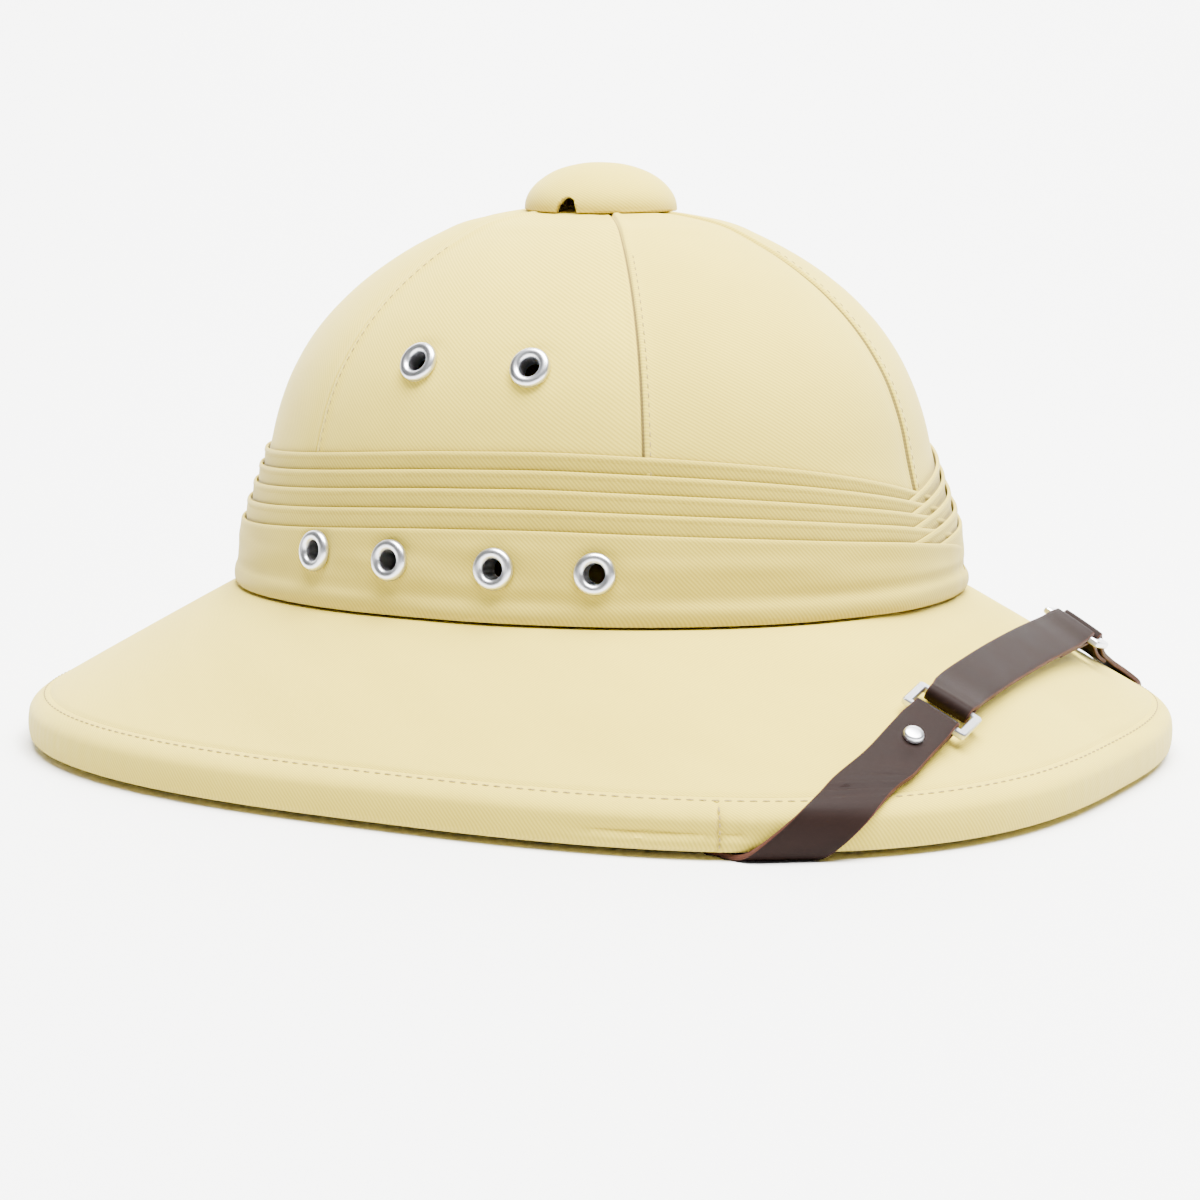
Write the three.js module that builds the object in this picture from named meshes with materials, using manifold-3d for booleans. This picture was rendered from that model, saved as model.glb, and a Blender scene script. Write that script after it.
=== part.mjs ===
// A six-panel sun helmet: pressed crown and brim, bound rim, pleated band, vent eyelets,
// a top button and a leather chin strap stowed over the front of the brim.
// Millimetres. Z is up from the surface it rests on, the front faces -Y, the wearer's right is -X.
// Angles round the head start at the front and turn towards the wearer's right.

import * as THREE from 'three';
import { mergeVertices } from 'three/addons/utils/BufferGeometryUtils.js';
import Module from 'manifold-3d';

const wasm = await Module();
wasm.setup();

// Gap kept between neighbouring pieces.
const clearance = 0.3;

// Rim and brim.
const rimHalfLength = 170;
const rimHalfWidth = 146;
const rimSquareness = 2.65;
const rimWidestForward = 6;
const rimUpright = 8;
const shoulderWidth = 4;
const shoulderRise = 4.8;
const brimWall = 3;
const rimCoreWidth = 5;
const bindingWall = 1.2;
const bindingHem = 1.6;
const bindingTurnUnder = 7.5;

// Crown.
const headHalfLength = 109.2;
const headHalfWidth = 93.2;
const headSquareness = 2.17;
const seatHeight = 47.3;
const seatFrontRise = 1.8;
const domeHeight = 114.2;
const crownWall = 3;

// Pleated band round the crown.
const bandHeight = 48.5;
const bandFrontDrop = 14.5;
const bandBackDrop = 8;
const bandBackStart = 70;
const bandBackEnd = 150;
const bandDropSharpness = 2.6;
const bandWall = 1;
const pleatStep = 0.5;
const pleatLip = 0.6;

// Button and its stem.
const buttonRadius = 23;
const buttonHeight = 13.3;
const buttonWall = 2;
const buttonNotchWidth = 7.4;
const buttonNotchHeight = 5.4;
const stemRadius = 3;
const stemNutRadius = 9;
const stemNutHeight = 3;

// Vent eyelets.
const eyeletRadius = 6;
const eyeletHoleRadius = 2.9;
const eyeletTubeWall = 0.8;
const eyeletRimHeight = 1.6;
const eyeletStandOff = 0.35;
const eyeletTail = 0.8;
const upperEyeletHeight = 71;
const upperEyeletSpread = 20;
const lowerEyeletHeight = 15.8;
const lowerEyeletSpacing = 15;

// Chin strap, its slides, studs and the rivets that hold it inside the crown.
const strapWidth = 14.5;
const strapThickness = 1.5;
const slideBar = 2;
const slideLength = 13.5;
const slideChamfer = 0.5;
const strapTail = 24;
const studRadius = 3.1;
const studHeadHeight = 1.7;
const studShankRadius = 1.2;
const studFromBar = 13.5;
const rivetRadius = 3.5;
const rivetHeadHeight = 1.2;
const rivetShankRadius = 1.4;
const anchorAngle = 88;
const anchorHeight = 10;

// Crown sections from the brim's seat to the top, as shares of domeHeight and of the half sizes.
const crownSections = [
  { rise: 0, spread: 1 },
  { rise: 0.083, spread: 0.995 },
  { rise: 0.166, spread: 0.984 },
  { rise: 0.27, spread: 0.957 },
  { rise: 0.375, spread: 0.93 },
  { rise: 0.44, spread: 0.914 },
  { rise: 0.49, spread: 0.898 },
  { rise: 0.593, spread: 0.851 },
  { rise: 0.697, spread: 0.777 },
  { rise: 0.79, spread: 0.68 },
  { rise: 0.87, spread: 0.564 },
  { rise: 0.933, spread: 0.44 },
  { rise: 0.96, spread: 0.372 },
  { rise: 0.984, spread: 0.245 },
  { rise: 1, spread: 0 },
];

// Rounding of the rim's shoulder from the stitch line out to the crease,
// as shares of shoulderWidth and shoulderRise.
const shoulderSections = [
  { inset: 1, rise: 1 },
  { inset: 0.5, rise: 0.72 },
  { inset: 0.16, rise: 0.38 },
  { inset: 0, rise: 0 },
];

// Upper folded edge of each pleat of the band, as shares of bandHeight.
const pleatEdges = [1, 0.895, 0.785, 0.67, 0.55];

// Dome of the button, as shares of its height above the edge and of its radius.
const buttonSections = [
  { rise: 1, spread: 0 },
  { rise: 0.97, spread: 0.28 },
  { rise: 0.88, spread: 0.52 },
  { rise: 0.68, spread: 0.74 },
  { rise: 0.36, spread: 0.92 },
  { rise: 0.1, spread: 0.99 },
  { rise: 0, spread: 1 },
];

// Middle line of the stowed strap over the brim, from the wearer's right to the left.
// down is a share of the slope from the band to the stitch line, lift a multiple of strapThickness,
// and skew turns a section from square to the strap, 0, to the line of the rim, 1.
const rightRoute = [
  { angle: 32, down: 0.744, lift: 2.6, skew: 0 },
  { angle: 37, down: 0.843, lift: 2, skew: 0.3 },
  { angle: 42, down: 0.938, lift: 1.3, skew: 0.8 },
];
const leftRoute = [
  { angle: -29, down: 0.6, lift: 3.6, skew: 0 },
  { angle: -35, down: 0.7, lift: 2, skew: 0.3 },
  { angle: -41, down: 0.86, lift: 1.3, skew: 0.8 },
];
const middleRoute = [
  { angle: 17, down: 0.52, lift: 2.8, skew: 0 },
  { angle: 11, down: 0.47, lift: 2.4, skew: 0 },
  { angle: 4, down: 0.432, lift: 2.2, skew: 0 },
  { angle: -3, down: 0.415, lift: 2.5, skew: 0 },
  { angle: -10, down: 0.427, lift: 3.2, skew: 0 },
  { angle: -14.5, down: 0.447, lift: 3.8, skew: 0 },
];
const rightSlideSeat = { angle: 24.2, down: 0.62, lift: 2.5 };
const leftSlideSeat = { angle: -22.6, down: 0.51, lift: 4.5 };

// Angles at which the strap meets the stitch line and leaves the underside of the rim.
const rimEntryAngle = 44.6;
const rimExitAngle = 55.4;

// Rounding of the meshes.
const columns = 44;
const buttonSides = 16;
const boreSides = 8;
const crownRows = [0, 0.15, 0.28, 0.4, 0.5, 0.6, 0.69, 0.77, 0.84, 0.9, 0.94, 0.975, 0.995];
const crownInnerRows = [0, 0.15, 0.3, 0.5, 0.69, 0.84, 0.94, 0.995];
const roundSides = 10;

const materials = {
  cloth: new THREE.MeshStandardMaterial({ color: '#e6dab0', roughness: 0.9, metalness: 0 }),
  leather: new THREE.MeshStandardMaterial({ color: '#4a3a35', roughness: 0.5, metalness: 0 }),
  steel: new THREE.MeshStandardMaterial({ color: '#c9ccd2', roughness: 0.25, metalness: 1 }),
};

const helmet = new THREE.Group();

// Heights above the resting surface: the strap passes under the rim, so the rim stands clear of it.
const strapGap = 2 * clearance;
const rimBottom = strapThickness + strapGap;
const seatZ = rimBottom + seatHeight;
const topZ = seatZ + domeHeight;
const bandThickness = bandWall + pleatStep * (pleatEdges.length - 1);
const bandReach = clearance + bandThickness;

function degrees(angle) {
  return THREE.MathUtils.degToRad(angle);
}

function signedPower(value, power) {
  return Math.sign(value) * Math.abs(value) ** power;
}

// Point of an oval plan: a superellipse whose widest place may lie ahead of the middle.
function ovalPoint(angle, halfLength, halfWidth, squareness, widestForward, z) {
  const across = signedPower(Math.sin(degrees(angle)), 2 / squareness);
  const along = signedPower(Math.cos(degrees(angle)), 2 / squareness);
  return new THREE.Vector3(
    -halfWidth * across,
    -halfLength * along - widestForward * across * across,
    z,
  );
}

// Height of the crown's foot, which is a little higher at the front.
function seatAt(angle) {
  return seatZ + seatFrontRise * Math.cos(degrees(angle));
}

function rimPoint(angle, inset, z) {
  return ovalPoint(
    angle, rimHalfLength - inset, rimHalfWidth - inset, rimSquareness, rimWidestForward, z,
  );
}

function headPoint(angle, outset, z) {
  return ovalPoint(angle, headHalfLength + outset, headHalfWidth + outset, headSquareness, 0, z);
}

// Spread of the crown at a rise, smooth through the sections and round at the top.
const spreadCurve = new THREE.CubicInterpolant(
  crownSections.map((section) => section.rise),
  crownSections.map((section) => section.spread ** 2),
  1,
);

function crownSurface(angle, rise) {
  const spread = Math.sqrt(Math.max(spreadCurve.evaluate(rise)[0], 0));
  const z = THREE.MathUtils.lerp(seatAt(angle), topZ, rise);
  return ovalPoint(
    angle, headHalfLength * spread, headHalfWidth * spread, headSquareness, 0, z,
  );
}

// Outward normal of a surface given by an angle and a second value.
function surfaceNormal(surface, angle, value, step) {
  const alongAngle = surface(angle + 1, value).sub(surface(angle - 1, value));
  const alongValue = surface(angle, value + step).sub(surface(angle, value - step));
  return alongValue.cross(alongAngle).normalize();
}

// Point at a distance outside the crown's outer face.
function crownPoint(angle, rise, standOff) {
  const step = 0.004;
  const inside = THREE.MathUtils.clamp(rise, step, 1 - 2 * step);
  const normal = surfaceNormal(crownSurface, angle, inside, step);
  return crownSurface(angle, rise).addScaledVector(normal, standOff);
}

function crownRiseAtHeight(angle, height) {
  const seat = seatAt(angle);
  return (seatZ + height - seat) / (topZ - seat);
}

// Top face of the brim between the band and the stitch line.
function brimSurface(angle, down) {
  const start = headPoint(angle, bandReach + clearance, seatAt(angle));
  const end = rimPoint(angle, shoulderWidth, rimBottom + rimUpright + shoulderRise);
  return start.lerp(end, down);
}

function brimNormal(angle, down) {
  return surfaceNormal(brimSurface, angle, down, 0.02).negate();
}

// Profile of the rim in its own plane: x is the inset from the rim, y the height over its underside.
function rimProfile() {
  const rounded = shoulderSections.map((section) => new THREE.Vector2(
    section.inset * shoulderWidth,
    rimUpright + section.rise * shoulderRise,
  ));
  const corner = bindingWall;
  return [
    ...rounded,
    new THREE.Vector2(0, corner),
    new THREE.Vector2(corner, 0),
  ];
}

// Same profile moved inwards by a distance, square to the face at each point.
function insetProfile(profile, distance) {
  return profile.map((point, index) => {
    const before = profile[Math.max(index - 1, 0)];
    const after = profile[Math.min(index + 1, profile.length - 1)];
    const along = after.clone().sub(before).normalize();
    const inwards = new THREE.Vector2(-along.y, along.x);
    return point.clone().addScaledVector(inwards, distance);
  });
}

// Stitches rings of points into one closed body. A ring of one point is a pole.
// Rings run down the outside, under the piece and up its inside.
function ringBody(rings, joinsEnd) {
  const positions = [];
  const starts = rings.map((ring) => {
    const start = positions.length / 3;
    ring.forEach((point) => positions.push(point.x, point.y, point.z));
    return start;
  });
  const faces = [];
  const last = joinsEnd ? rings.length : rings.length - 1;
  for (let row = 0; row < last; row += 1) {
    const upper = row;
    const lower = (row + 1) % rings.length;
    const sides = Math.max(rings[upper].length, rings[lower].length);
    for (let side = 0; side < sides; side += 1) {
      const next = (side + 1) % sides;
      const a = starts[upper] + (rings[upper].length === 1 ? 0 : side);
      const b = starts[upper] + (rings[upper].length === 1 ? 0 : next);
      const c = starts[lower] + (rings[lower].length === 1 ? 0 : next);
      const d = starts[lower] + (rings[lower].length === 1 ? 0 : side);
      if (a !== b) faces.push(a, b, c);
      if (c !== d) faces.push(a, c, d);
    }
  }
  const geometry = new THREE.BufferGeometry();
  geometry.setAttribute('position', new THREE.Float32BufferAttribute(positions, 3));
  geometry.setIndex(faces);
  return geometry;
}

function ringOf(pointAt) {
  return Array.from({ length: columns }, (_, column) => pointAt((360 * column) / columns));
}

function toManifold(geometry) {
  const bare = geometry.clone();
  bare.deleteAttribute('normal');
  bare.deleteAttribute('uv');
  const merged = mergeVertices(bare, 1e-4);
  return new wasm.Manifold(new wasm.Mesh({
    numProp: 3,
    vertProperties: new Float32Array(merged.attributes.position.array),
    triVerts: new Uint32Array(merged.index.array),
  }));
}

function toGeometry(solid) {
  const mesh = solid.getMesh();
  const geometry = new THREE.BufferGeometry();
  geometry.setAttribute('position', new THREE.BufferAttribute(mesh.vertProperties, 3));
  geometry.setIndex(new THREE.BufferAttribute(mesh.triVerts, 1));
  return geometry;
}

function cutAway(geometry, cutters) {
  let solid = toManifold(geometry);
  cutters.forEach((cutter) => {
    solid = solid.subtract(toManifold(cutter));
  });
  return toGeometry(solid);
}

function addPiece(name, geometry, material, parent = helmet) {
  const mesh = new THREE.Mesh(geometry, material);
  mesh.name = name;
  parent.add(mesh);
  return mesh;
}

// A rod along a direction, for cutting holes. Its flat sides lie at the radius.
function rod(radius, length, centre, direction) {
  const reach = radius / Math.cos(Math.PI / boreSides);
  const geometry = new THREE.CylinderGeometry(reach, reach, length, boreSides);
  const turn = new THREE.Quaternion().setFromUnitVectors(new THREE.Vector3(0, 1, 0), direction);
  return geometry.applyQuaternion(turn).translate(centre.x, centre.y, centre.z);
}

// Places of the eyelets: two above and four in the band on each side of the head.
function eyeletPlaces() {
  const places = [];
  [['right', 90], ['left', 270]].forEach(([side, middle]) => {
    [-0.5, 0.5].forEach((share, index) => places.push({
      name: `eyelet_upper_${side}_${index + 1}`,
      angle: middle + share * upperEyeletSpread,
      height: upperEyeletHeight,
      standOff: 0,
    }));
    [-1.5, -0.5, 0.5, 1.5].forEach((share, index) => places.push({
      name: `eyelet_lower_${side}_${index + 1}`,
      angle: middle + share * lowerEyeletSpacing,
      height: lowerEyeletHeight,
      standOff: bandReach,
    }));
  });
  return places.map((place) => {
    const rise = crownRiseAtHeight(place.angle, place.height);
    return {
      ...place,
      centre: crownPoint(place.angle, rise, place.standOff),
      normal: surfaceNormal(crownSurface, place.angle, rise, 0.01),
    };
  });
}

const eyelets = eyeletPlaces();
const eyeletTubeRadius = eyeletHoleRadius + eyeletTubeWall;
const eyeletBores = eyelets.map((eyelet) => rod(
  eyeletTubeRadius + clearance, 8 * crownWall, eyelet.centre, eyelet.normal,
));

// Depth of the strap's middle inside the crown: it is flat, and the crown curves behind it.
const strapDepth = crownWall + clearance + strapThickness / 2 + strapWidth ** 2 / (7 * headHalfWidth);

// Section square to its strap.
const straight = new THREE.Vector3();

// Points where the strap's ends are riveted to the inside of the crown.
const rivetSeats = [['right', 1], ['left', -1]].map(([side, sign]) => {
  const angle = sign * anchorAngle;
  const rise = crownRiseAtHeight(angle, anchorHeight);
  return {
    side,
    sign,
    centre: crownPoint(angle, rise, -strapDepth),
    normal: surfaceNormal(crownSurface, angle, rise, 0.01),
  };
});
const rivetBores = rivetSeats.map((seat) => rod(
  rivetShankRadius + clearance, 4 * crownWall, seat.centre, seat.normal,
));

function makeCrown() {
  const foot = clearance;
  const outer = crownRows.map((rise) => ringOf((angle) => {
    const point = crownPoint(angle, rise, 0);
    return rise === 0 ? point.setZ(seatAt(angle) + foot) : point;
  }));
  const inner = crownInnerRows.map((rise) => ringOf((angle) => {
    const point = crownPoint(angle, rise, -crownWall);
    return rise === 0 ? point.setZ(seatAt(angle) + foot) : point;
  }));
  const body = ringBody([
    [new THREE.Vector3(0, 0, topZ)],
    ...outer.reverse(),
    ...inner,
    [new THREE.Vector3(0, 0, topZ - crownWall)],
  ], false);
  const up = new THREE.Vector3(0, 0, 1);
  const stemBore = rod(
    stemRadius + clearance, 4 * crownWall, new THREE.Vector3(0, 0, topZ), up,
  );
  addPiece('crown', cutAway(body, [stemBore, ...eyeletBores, ...rivetBores]), materials.cloth);
}

function makeBrim() {
  const edge = insetProfile(rimProfile(), bindingWall + clearance);
  const hemShare = 1 - bindingHem / (rimHalfWidth - headHalfWidth - shoulderWidth);
  const slope = [0, hemShare].map((down) => ringOf((angle) => brimSurface(angle, down)));
  const hemStep = ringOf((angle) => brimSurface(angle, hemShare)
    .addScaledVector(brimNormal(angle, hemShare), -bindingWall - clearance));
  const edgeRings = edge.map((point) => ringOf(
    (angle) => rimPoint(angle, point.x, rimBottom + point.y),
  ));
  const core = edge[0];
  const underside = [
    ringOf((angle) => rimPoint(
      angle, rimCoreWidth + bindingWall, rimBottom + bindingWall + clearance,
    )),
    ringOf((angle) => rimPoint(
      angle, rimCoreWidth + bindingWall + brimWall / 2, rimBottom + core.y - brimWall,
    )),
    ringOf((angle) => brimSurface(angle, 0.5).addScaledVector(brimNormal(angle, 0.5), -brimWall)),
    ringOf((angle) => headPoint(angle, -crownWall, seatAt(angle) - brimWall)),
  ];
  const seat = ringOf((angle) => headPoint(angle, -crownWall, seatAt(angle)));
  const body = ringBody([seat, ...slope, hemStep, ...edgeRings, ...underside], true);
  addPiece('brim', body, materials.cloth);
}

function makeBinding() {
  const outer = rimProfile();
  const inner = insetProfile(outer, bindingWall).reverse();
  const hemShare = 1 - (bindingHem - clearance) / (rimHalfWidth - headHalfWidth - shoulderWidth);
  const hem = ringOf((angle) => brimSurface(angle, hemShare));
  const hemUnder = ringOf((angle) => brimSurface(angle, hemShare)
    .addScaledVector(brimNormal(angle, hemShare), -bindingWall));
  const turnUnder = [0, bindingWall].map((rise) => ringOf(
    (angle) => rimPoint(angle, bindingTurnUnder, rimBottom + rise),
  ));
  const toRings = (profile) => profile.map((point) => ringOf(
    (angle) => rimPoint(angle, point.x, rimBottom + point.y),
  ));
  const body = ringBody([hem, ...toRings(outer), ...turnUnder, ...toRings(inner), hemUnder], true);
  addPiece('brim_binding', body, materials.cloth);
}

// Height of a level of the band over the crown's foot, dipping to the crossing at the front
// and a little to the back.
function bandLevel(angle, share) {
  const turned = Math.abs(THREE.MathUtils.euclideanModulo(angle + 180, 360) - 180);
  const nearFront = Math.max(1 - turned / 90, 0) ** bandDropSharpness;
  const nearBack = THREE.MathUtils.smoothstep(turned, bandBackStart, bandBackEnd);
  const backDrop = bandBackDrop * Math.min(2 * share, 1) * nearBack;
  return bandHeight * share - bandFrontDrop * share * nearFront - backDrop;
}

function bandRing(share, standOff) {
  return ringOf((angle) => {
    const seat = seatAt(angle);
    const height = Math.max(bandLevel(angle, share), clearance);
    return crownPoint(angle, height / (topZ - seat), clearance + standOff);
  });
}

function makeBand() {
  const lip = pleatLip / bandHeight;
  const outer = pleatEdges.flatMap((edge, index) => {
    const standOff = bandWall + pleatStep * index;
    const above = bandRing(edge, standOff);
    return index === 0 ? [above] : [bandRing(edge + lip, standOff - pleatStep), above];
  });
  const foot = [bandRing(0.25, bandThickness), bandRing(0, bandThickness)];
  const inner = [0, 0.25, 0.5, 0.75, 1].map((share) => bandRing(share, 0.5 * clearance));
  const body = ringBody([...outer, ...foot, ...inner], true);
  addPiece('band', cutAway(body, eyeletBores), materials.cloth);
}

function makeEyelets() {
  const tail = (standOff) => crownWall + standOff + eyeletTail;
  eyelets.forEach((eyelet) => {
    const lift = eyeletStandOff;
    const middle = (eyeletHoleRadius + eyeletRadius) / 2;
    const profile = [
      [eyeletHoleRadius, -tail(eyelet.standOff)],
      [eyeletTubeRadius, -tail(eyelet.standOff)],
      [eyeletTubeRadius, lift],
      [eyeletRadius, lift],
      [middle, lift + eyeletRimHeight],
      [eyeletHoleRadius, lift + 0.5 * eyeletRimHeight],
      [eyeletHoleRadius, -tail(eyelet.standOff)],
    ].map(([radius, height]) => new THREE.Vector2(radius, height));
    const geometry = toGeometry(toManifold(new THREE.LatheGeometry(profile, roundSides)));
    const mesh = addPiece(eyelet.name, geometry, materials.steel);
    mesh.position.copy(eyelet.centre);
    mesh.quaternion.setFromUnitVectors(new THREE.Vector3(0, 1, 0), eyelet.normal);
  });
}

// Rise at which the crown has a given spread, found by halving.
function riseAtSpread(spread) {
  let low = 0;
  let high = 1;
  for (let step = 0; step < 20; step += 1) {
    const middle = (low + high) / 2;
    if (spreadCurve.evaluate(middle)[0] > spread ** 2) low = middle;
    else high = middle;
  }
  return low;
}

// Height of the crown's outer face at a distance from its middle.
function crownHeight(angle, radius) {
  const across = Math.sin(degrees(angle)) / headHalfWidth;
  const along = Math.cos(degrees(angle)) / headHalfLength;
  const rise = riseAtSpread(radius * Math.hypot(across, along));
  return THREE.MathUtils.lerp(seatAt(angle), topZ, rise);
}

// Lower edge of the button, which follows the crown under it.
function buttonEdge(angle) {
  return crownHeight(angle, buttonRadius) + clearance;
}

function buttonRing(radius, share, drop) {
  return Array.from({ length: buttonSides }, (_, side) => {
    const angle = (360 * side) / buttonSides;
    const z = THREE.MathUtils.lerp(buttonEdge(angle), topZ + buttonHeight, share) - drop;
    return new THREE.Vector3(
      -radius * Math.sin(degrees(angle)), -radius * Math.cos(degrees(angle)), z,
    );
  });
}

function makeButton() {
  const outer = buttonSections.slice(1).map(
    (section) => buttonRing(buttonRadius * section.spread, section.rise, 0),
  );
  const inner = buttonSections.slice(1).map((section) => buttonRing(
    (buttonRadius - buttonWall) * section.spread,
    section.rise,
    section.rise * buttonWall,
  )).reverse();
  const top = topZ + buttonHeight;
  const body = ringBody([
    [new THREE.Vector3(0, 0, top)],
    ...outer,
    ...inner,
    [new THREE.Vector3(0, 0, top - buttonWall)],
  ], false);
  const notches = [90, 270].map((angle) => buttonNotch(angle));
  addPiece('button', cutAway(body, notches), materials.cloth);
}

// Arched vent cut through the button's edge at one side.
function buttonNotch(angle) {
  const foot = buttonEdge(angle) - 2 * buttonWall;
  const springing = 2 * buttonWall;
  const arch = new THREE.Shape();
  arch.moveTo(-buttonNotchWidth / 2, 0);
  arch.lineTo(buttonNotchWidth / 2, 0);
  arch.lineTo(buttonNotchWidth / 2, springing);
  arch.quadraticCurveTo(
    0.4 * buttonNotchWidth, springing + buttonNotchHeight, 0, springing + buttonNotchHeight,
  );
  arch.quadraticCurveTo(
    -0.4 * buttonNotchWidth, springing + buttonNotchHeight, -buttonNotchWidth / 2, springing,
  );
  const depth = 0.6 * buttonRadius;
  const geometry = new THREE.ExtrudeGeometry(arch, { depth, bevelEnabled: false, curveSegments: 4 });
  geometry.rotateX(Math.PI / 2).rotateZ(-degrees(angle));
  const outwards = new THREE.Vector3(-Math.sin(degrees(angle)), -Math.cos(degrees(angle)), 0);
  const start = outwards.multiplyScalar(buttonRadius - 0.4 * buttonRadius);
  return geometry.translate(start.x, start.y, foot);
}

// Stem that holds the button, with its nut against the inside of the crown.
function makeStem() {
  const foot = crownHeight(90, stemNutRadius) - crownWall - 2 * clearance;
  const reach = topZ + buttonHeight - buttonWall - clearance;
  const profile = [
    [0, foot - stemNutHeight],
    [stemNutRadius, foot - stemNutHeight],
    [stemNutRadius, foot],
    [stemRadius, foot],
    [stemRadius, reach],
    [0, reach],
  ].map(([radius, height]) => new THREE.Vector2(radius, height));
  const geometry = new THREE.LatheGeometry(profile, roundSides).rotateX(Math.PI / 2);
  addPiece('button_stem', toGeometry(toManifold(geometry)), materials.steel);
}

function rimLine(angle) {
  return rimPoint(angle + 1, 0, 0).sub(rimPoint(angle - 1, 0, 0)).normalize();
}

// Station of a strap lying at a place on the brim: middle point, outward normal and skew to the rim.
function strapStation(place) {
  const normal = brimNormal(place.angle, place.down);
  const point = brimSurface(place.angle, place.down)
    .addScaledVector(normal, place.lift * strapThickness);
  return { point, normal, skewed: rimLine(place.angle).multiplyScalar(place.skew) };
}

// Smooth run of stations through a few given ones, over a share of their length.
function smoothRun(stations, count, share = 1) {
  const [points, normals, skews] = ['point', 'normal', 'skewed'].map(
    (key) => new THREE.CatmullRomCurve3(stations.map((station) => station[key])),
  );
  return Array.from({ length: count + 1 }, (_, index) => {
    const along = points.getUtoTmapping((share * index) / count);
    return {
      point: points.getPoint(along),
      normal: normals.getPoint(along).normalize(),
      skewed: skews.getPoint(along),
    };
  });
}

// Directions of a ribbon at one of its stations. half reaches from the middle to one long edge.
function ribbonFrame(stations, index) {
  const { normal, skewed } = stations[index];
  const before = stations[Math.max(index - 1, 0)].point;
  const after = stations[Math.min(index + 1, stations.length - 1)].point;
  const along = after.clone().sub(before).normalize();
  const square = along.clone().cross(normal).normalize();
  const out = square.clone().cross(along);
  const turned = skewed.clone().multiplyScalar(Math.sign(skewed.dot(square)) || 1);
  const across = square.clone().multiplyScalar(1 - turned.length()).add(turned);
  across.addScaledVector(out, -across.dot(out));
  return { out, half: across.multiplyScalar(strapWidth / 2 / across.dot(square)) };
}

// Flat ribbon along stations, which stays above the resting surface.
function ribbonBody(stations) {
  const rings = stations.map((station, index) => {
    const { out, half } = ribbonFrame(stations, index);
    return [[1, 1], [1, -1], [-1, -1], [-1, 1]].map(([side, face]) => {
      const corner = station.point.clone()
        .addScaledVector(half, side)
        .addScaledVector(out, (face * strapThickness) / 2);
      return corner.setZ(Math.max(corner.z, 0));
    });
  });
  return ringBody([[stations[0].point], ...rings, [stations.at(-1).point]], false);
}

// Frame of a slide: its middle, the way the strap runs through it and its upper side.
function slideFrame(seat, before, after) {
  const station = strapStation(seat);
  const along = strapStation(after).point.sub(strapStation(before).point);
  const across = along.clone().cross(station.normal).normalize();
  const normal = station.normal;
  return { middle: station.point, along: normal.clone().cross(across), normal };
}

const slides = {
  right: slideFrame(rightSlideSeat, rightRoute[0], middleRoute[0]),
  left: slideFrame(leftSlideSeat, middleRoute.at(-1), leftRoute[0]),
};
const barOffset = (slideLength - slideBar) / 2;
const foldRadius = Math.hypot(slideBar / 2, slideBar / 2 - slideChamfer) + clearance
  + strapThickness / 2;

// Fold of a strap round one bar of a slide, from the upper layer down to the lower one.
// towards is 1 for the bar that the strap reaches along the slide's own direction, else -1.
function foldStations(slide, towards) {
  const bar = slide.middle.clone().addScaledVector(slide.along, -towards * barOffset);
  const steps = 6;
  return Array.from({ length: steps + 1 }, (_, index) => {
    const turn = (Math.PI * index) / steps;
    const normal = slide.normal.clone().multiplyScalar(Math.cos(turn))
      .addScaledVector(slide.along, towards * Math.sin(turn));
    return { point: bar.clone().addScaledVector(normal, foldRadius), normal, skewed: straight };
  });
}

// Lower layer of a folded strap end, back from its slide along the same places on the brim.
function tailStations(lastOfFold, route) {
  const lowest = 0.5 + clearance / strapThickness;
  const under = route.map((place) => {
    const lift = Math.max(place.lift - 1.3, lowest);
    const station = strapStation({ ...place, lift });
    return { ...station, normal: station.normal.negate() };
  });
  const curve = new THREE.CatmullRomCurve3(
    [lastOfFold, ...under].map((station) => station.point),
  );
  return smoothRun([lastOfFold, ...under], 6, Math.min(strapTail / curve.getLength(), 1)).slice(1);
}

// Straight run from one station to another, without the first.
function evenRun(start, end, count) {
  return Array.from({ length: count }, (_, index) => {
    const share = (index + 1) / count;
    return {
      point: start.point.clone().lerp(end.point, share),
      normal: start.normal.clone().lerp(end.normal, share).normalize(),
      skewed: start.skewed.clone().lerp(end.skewed, share),
    };
  });
}

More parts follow.
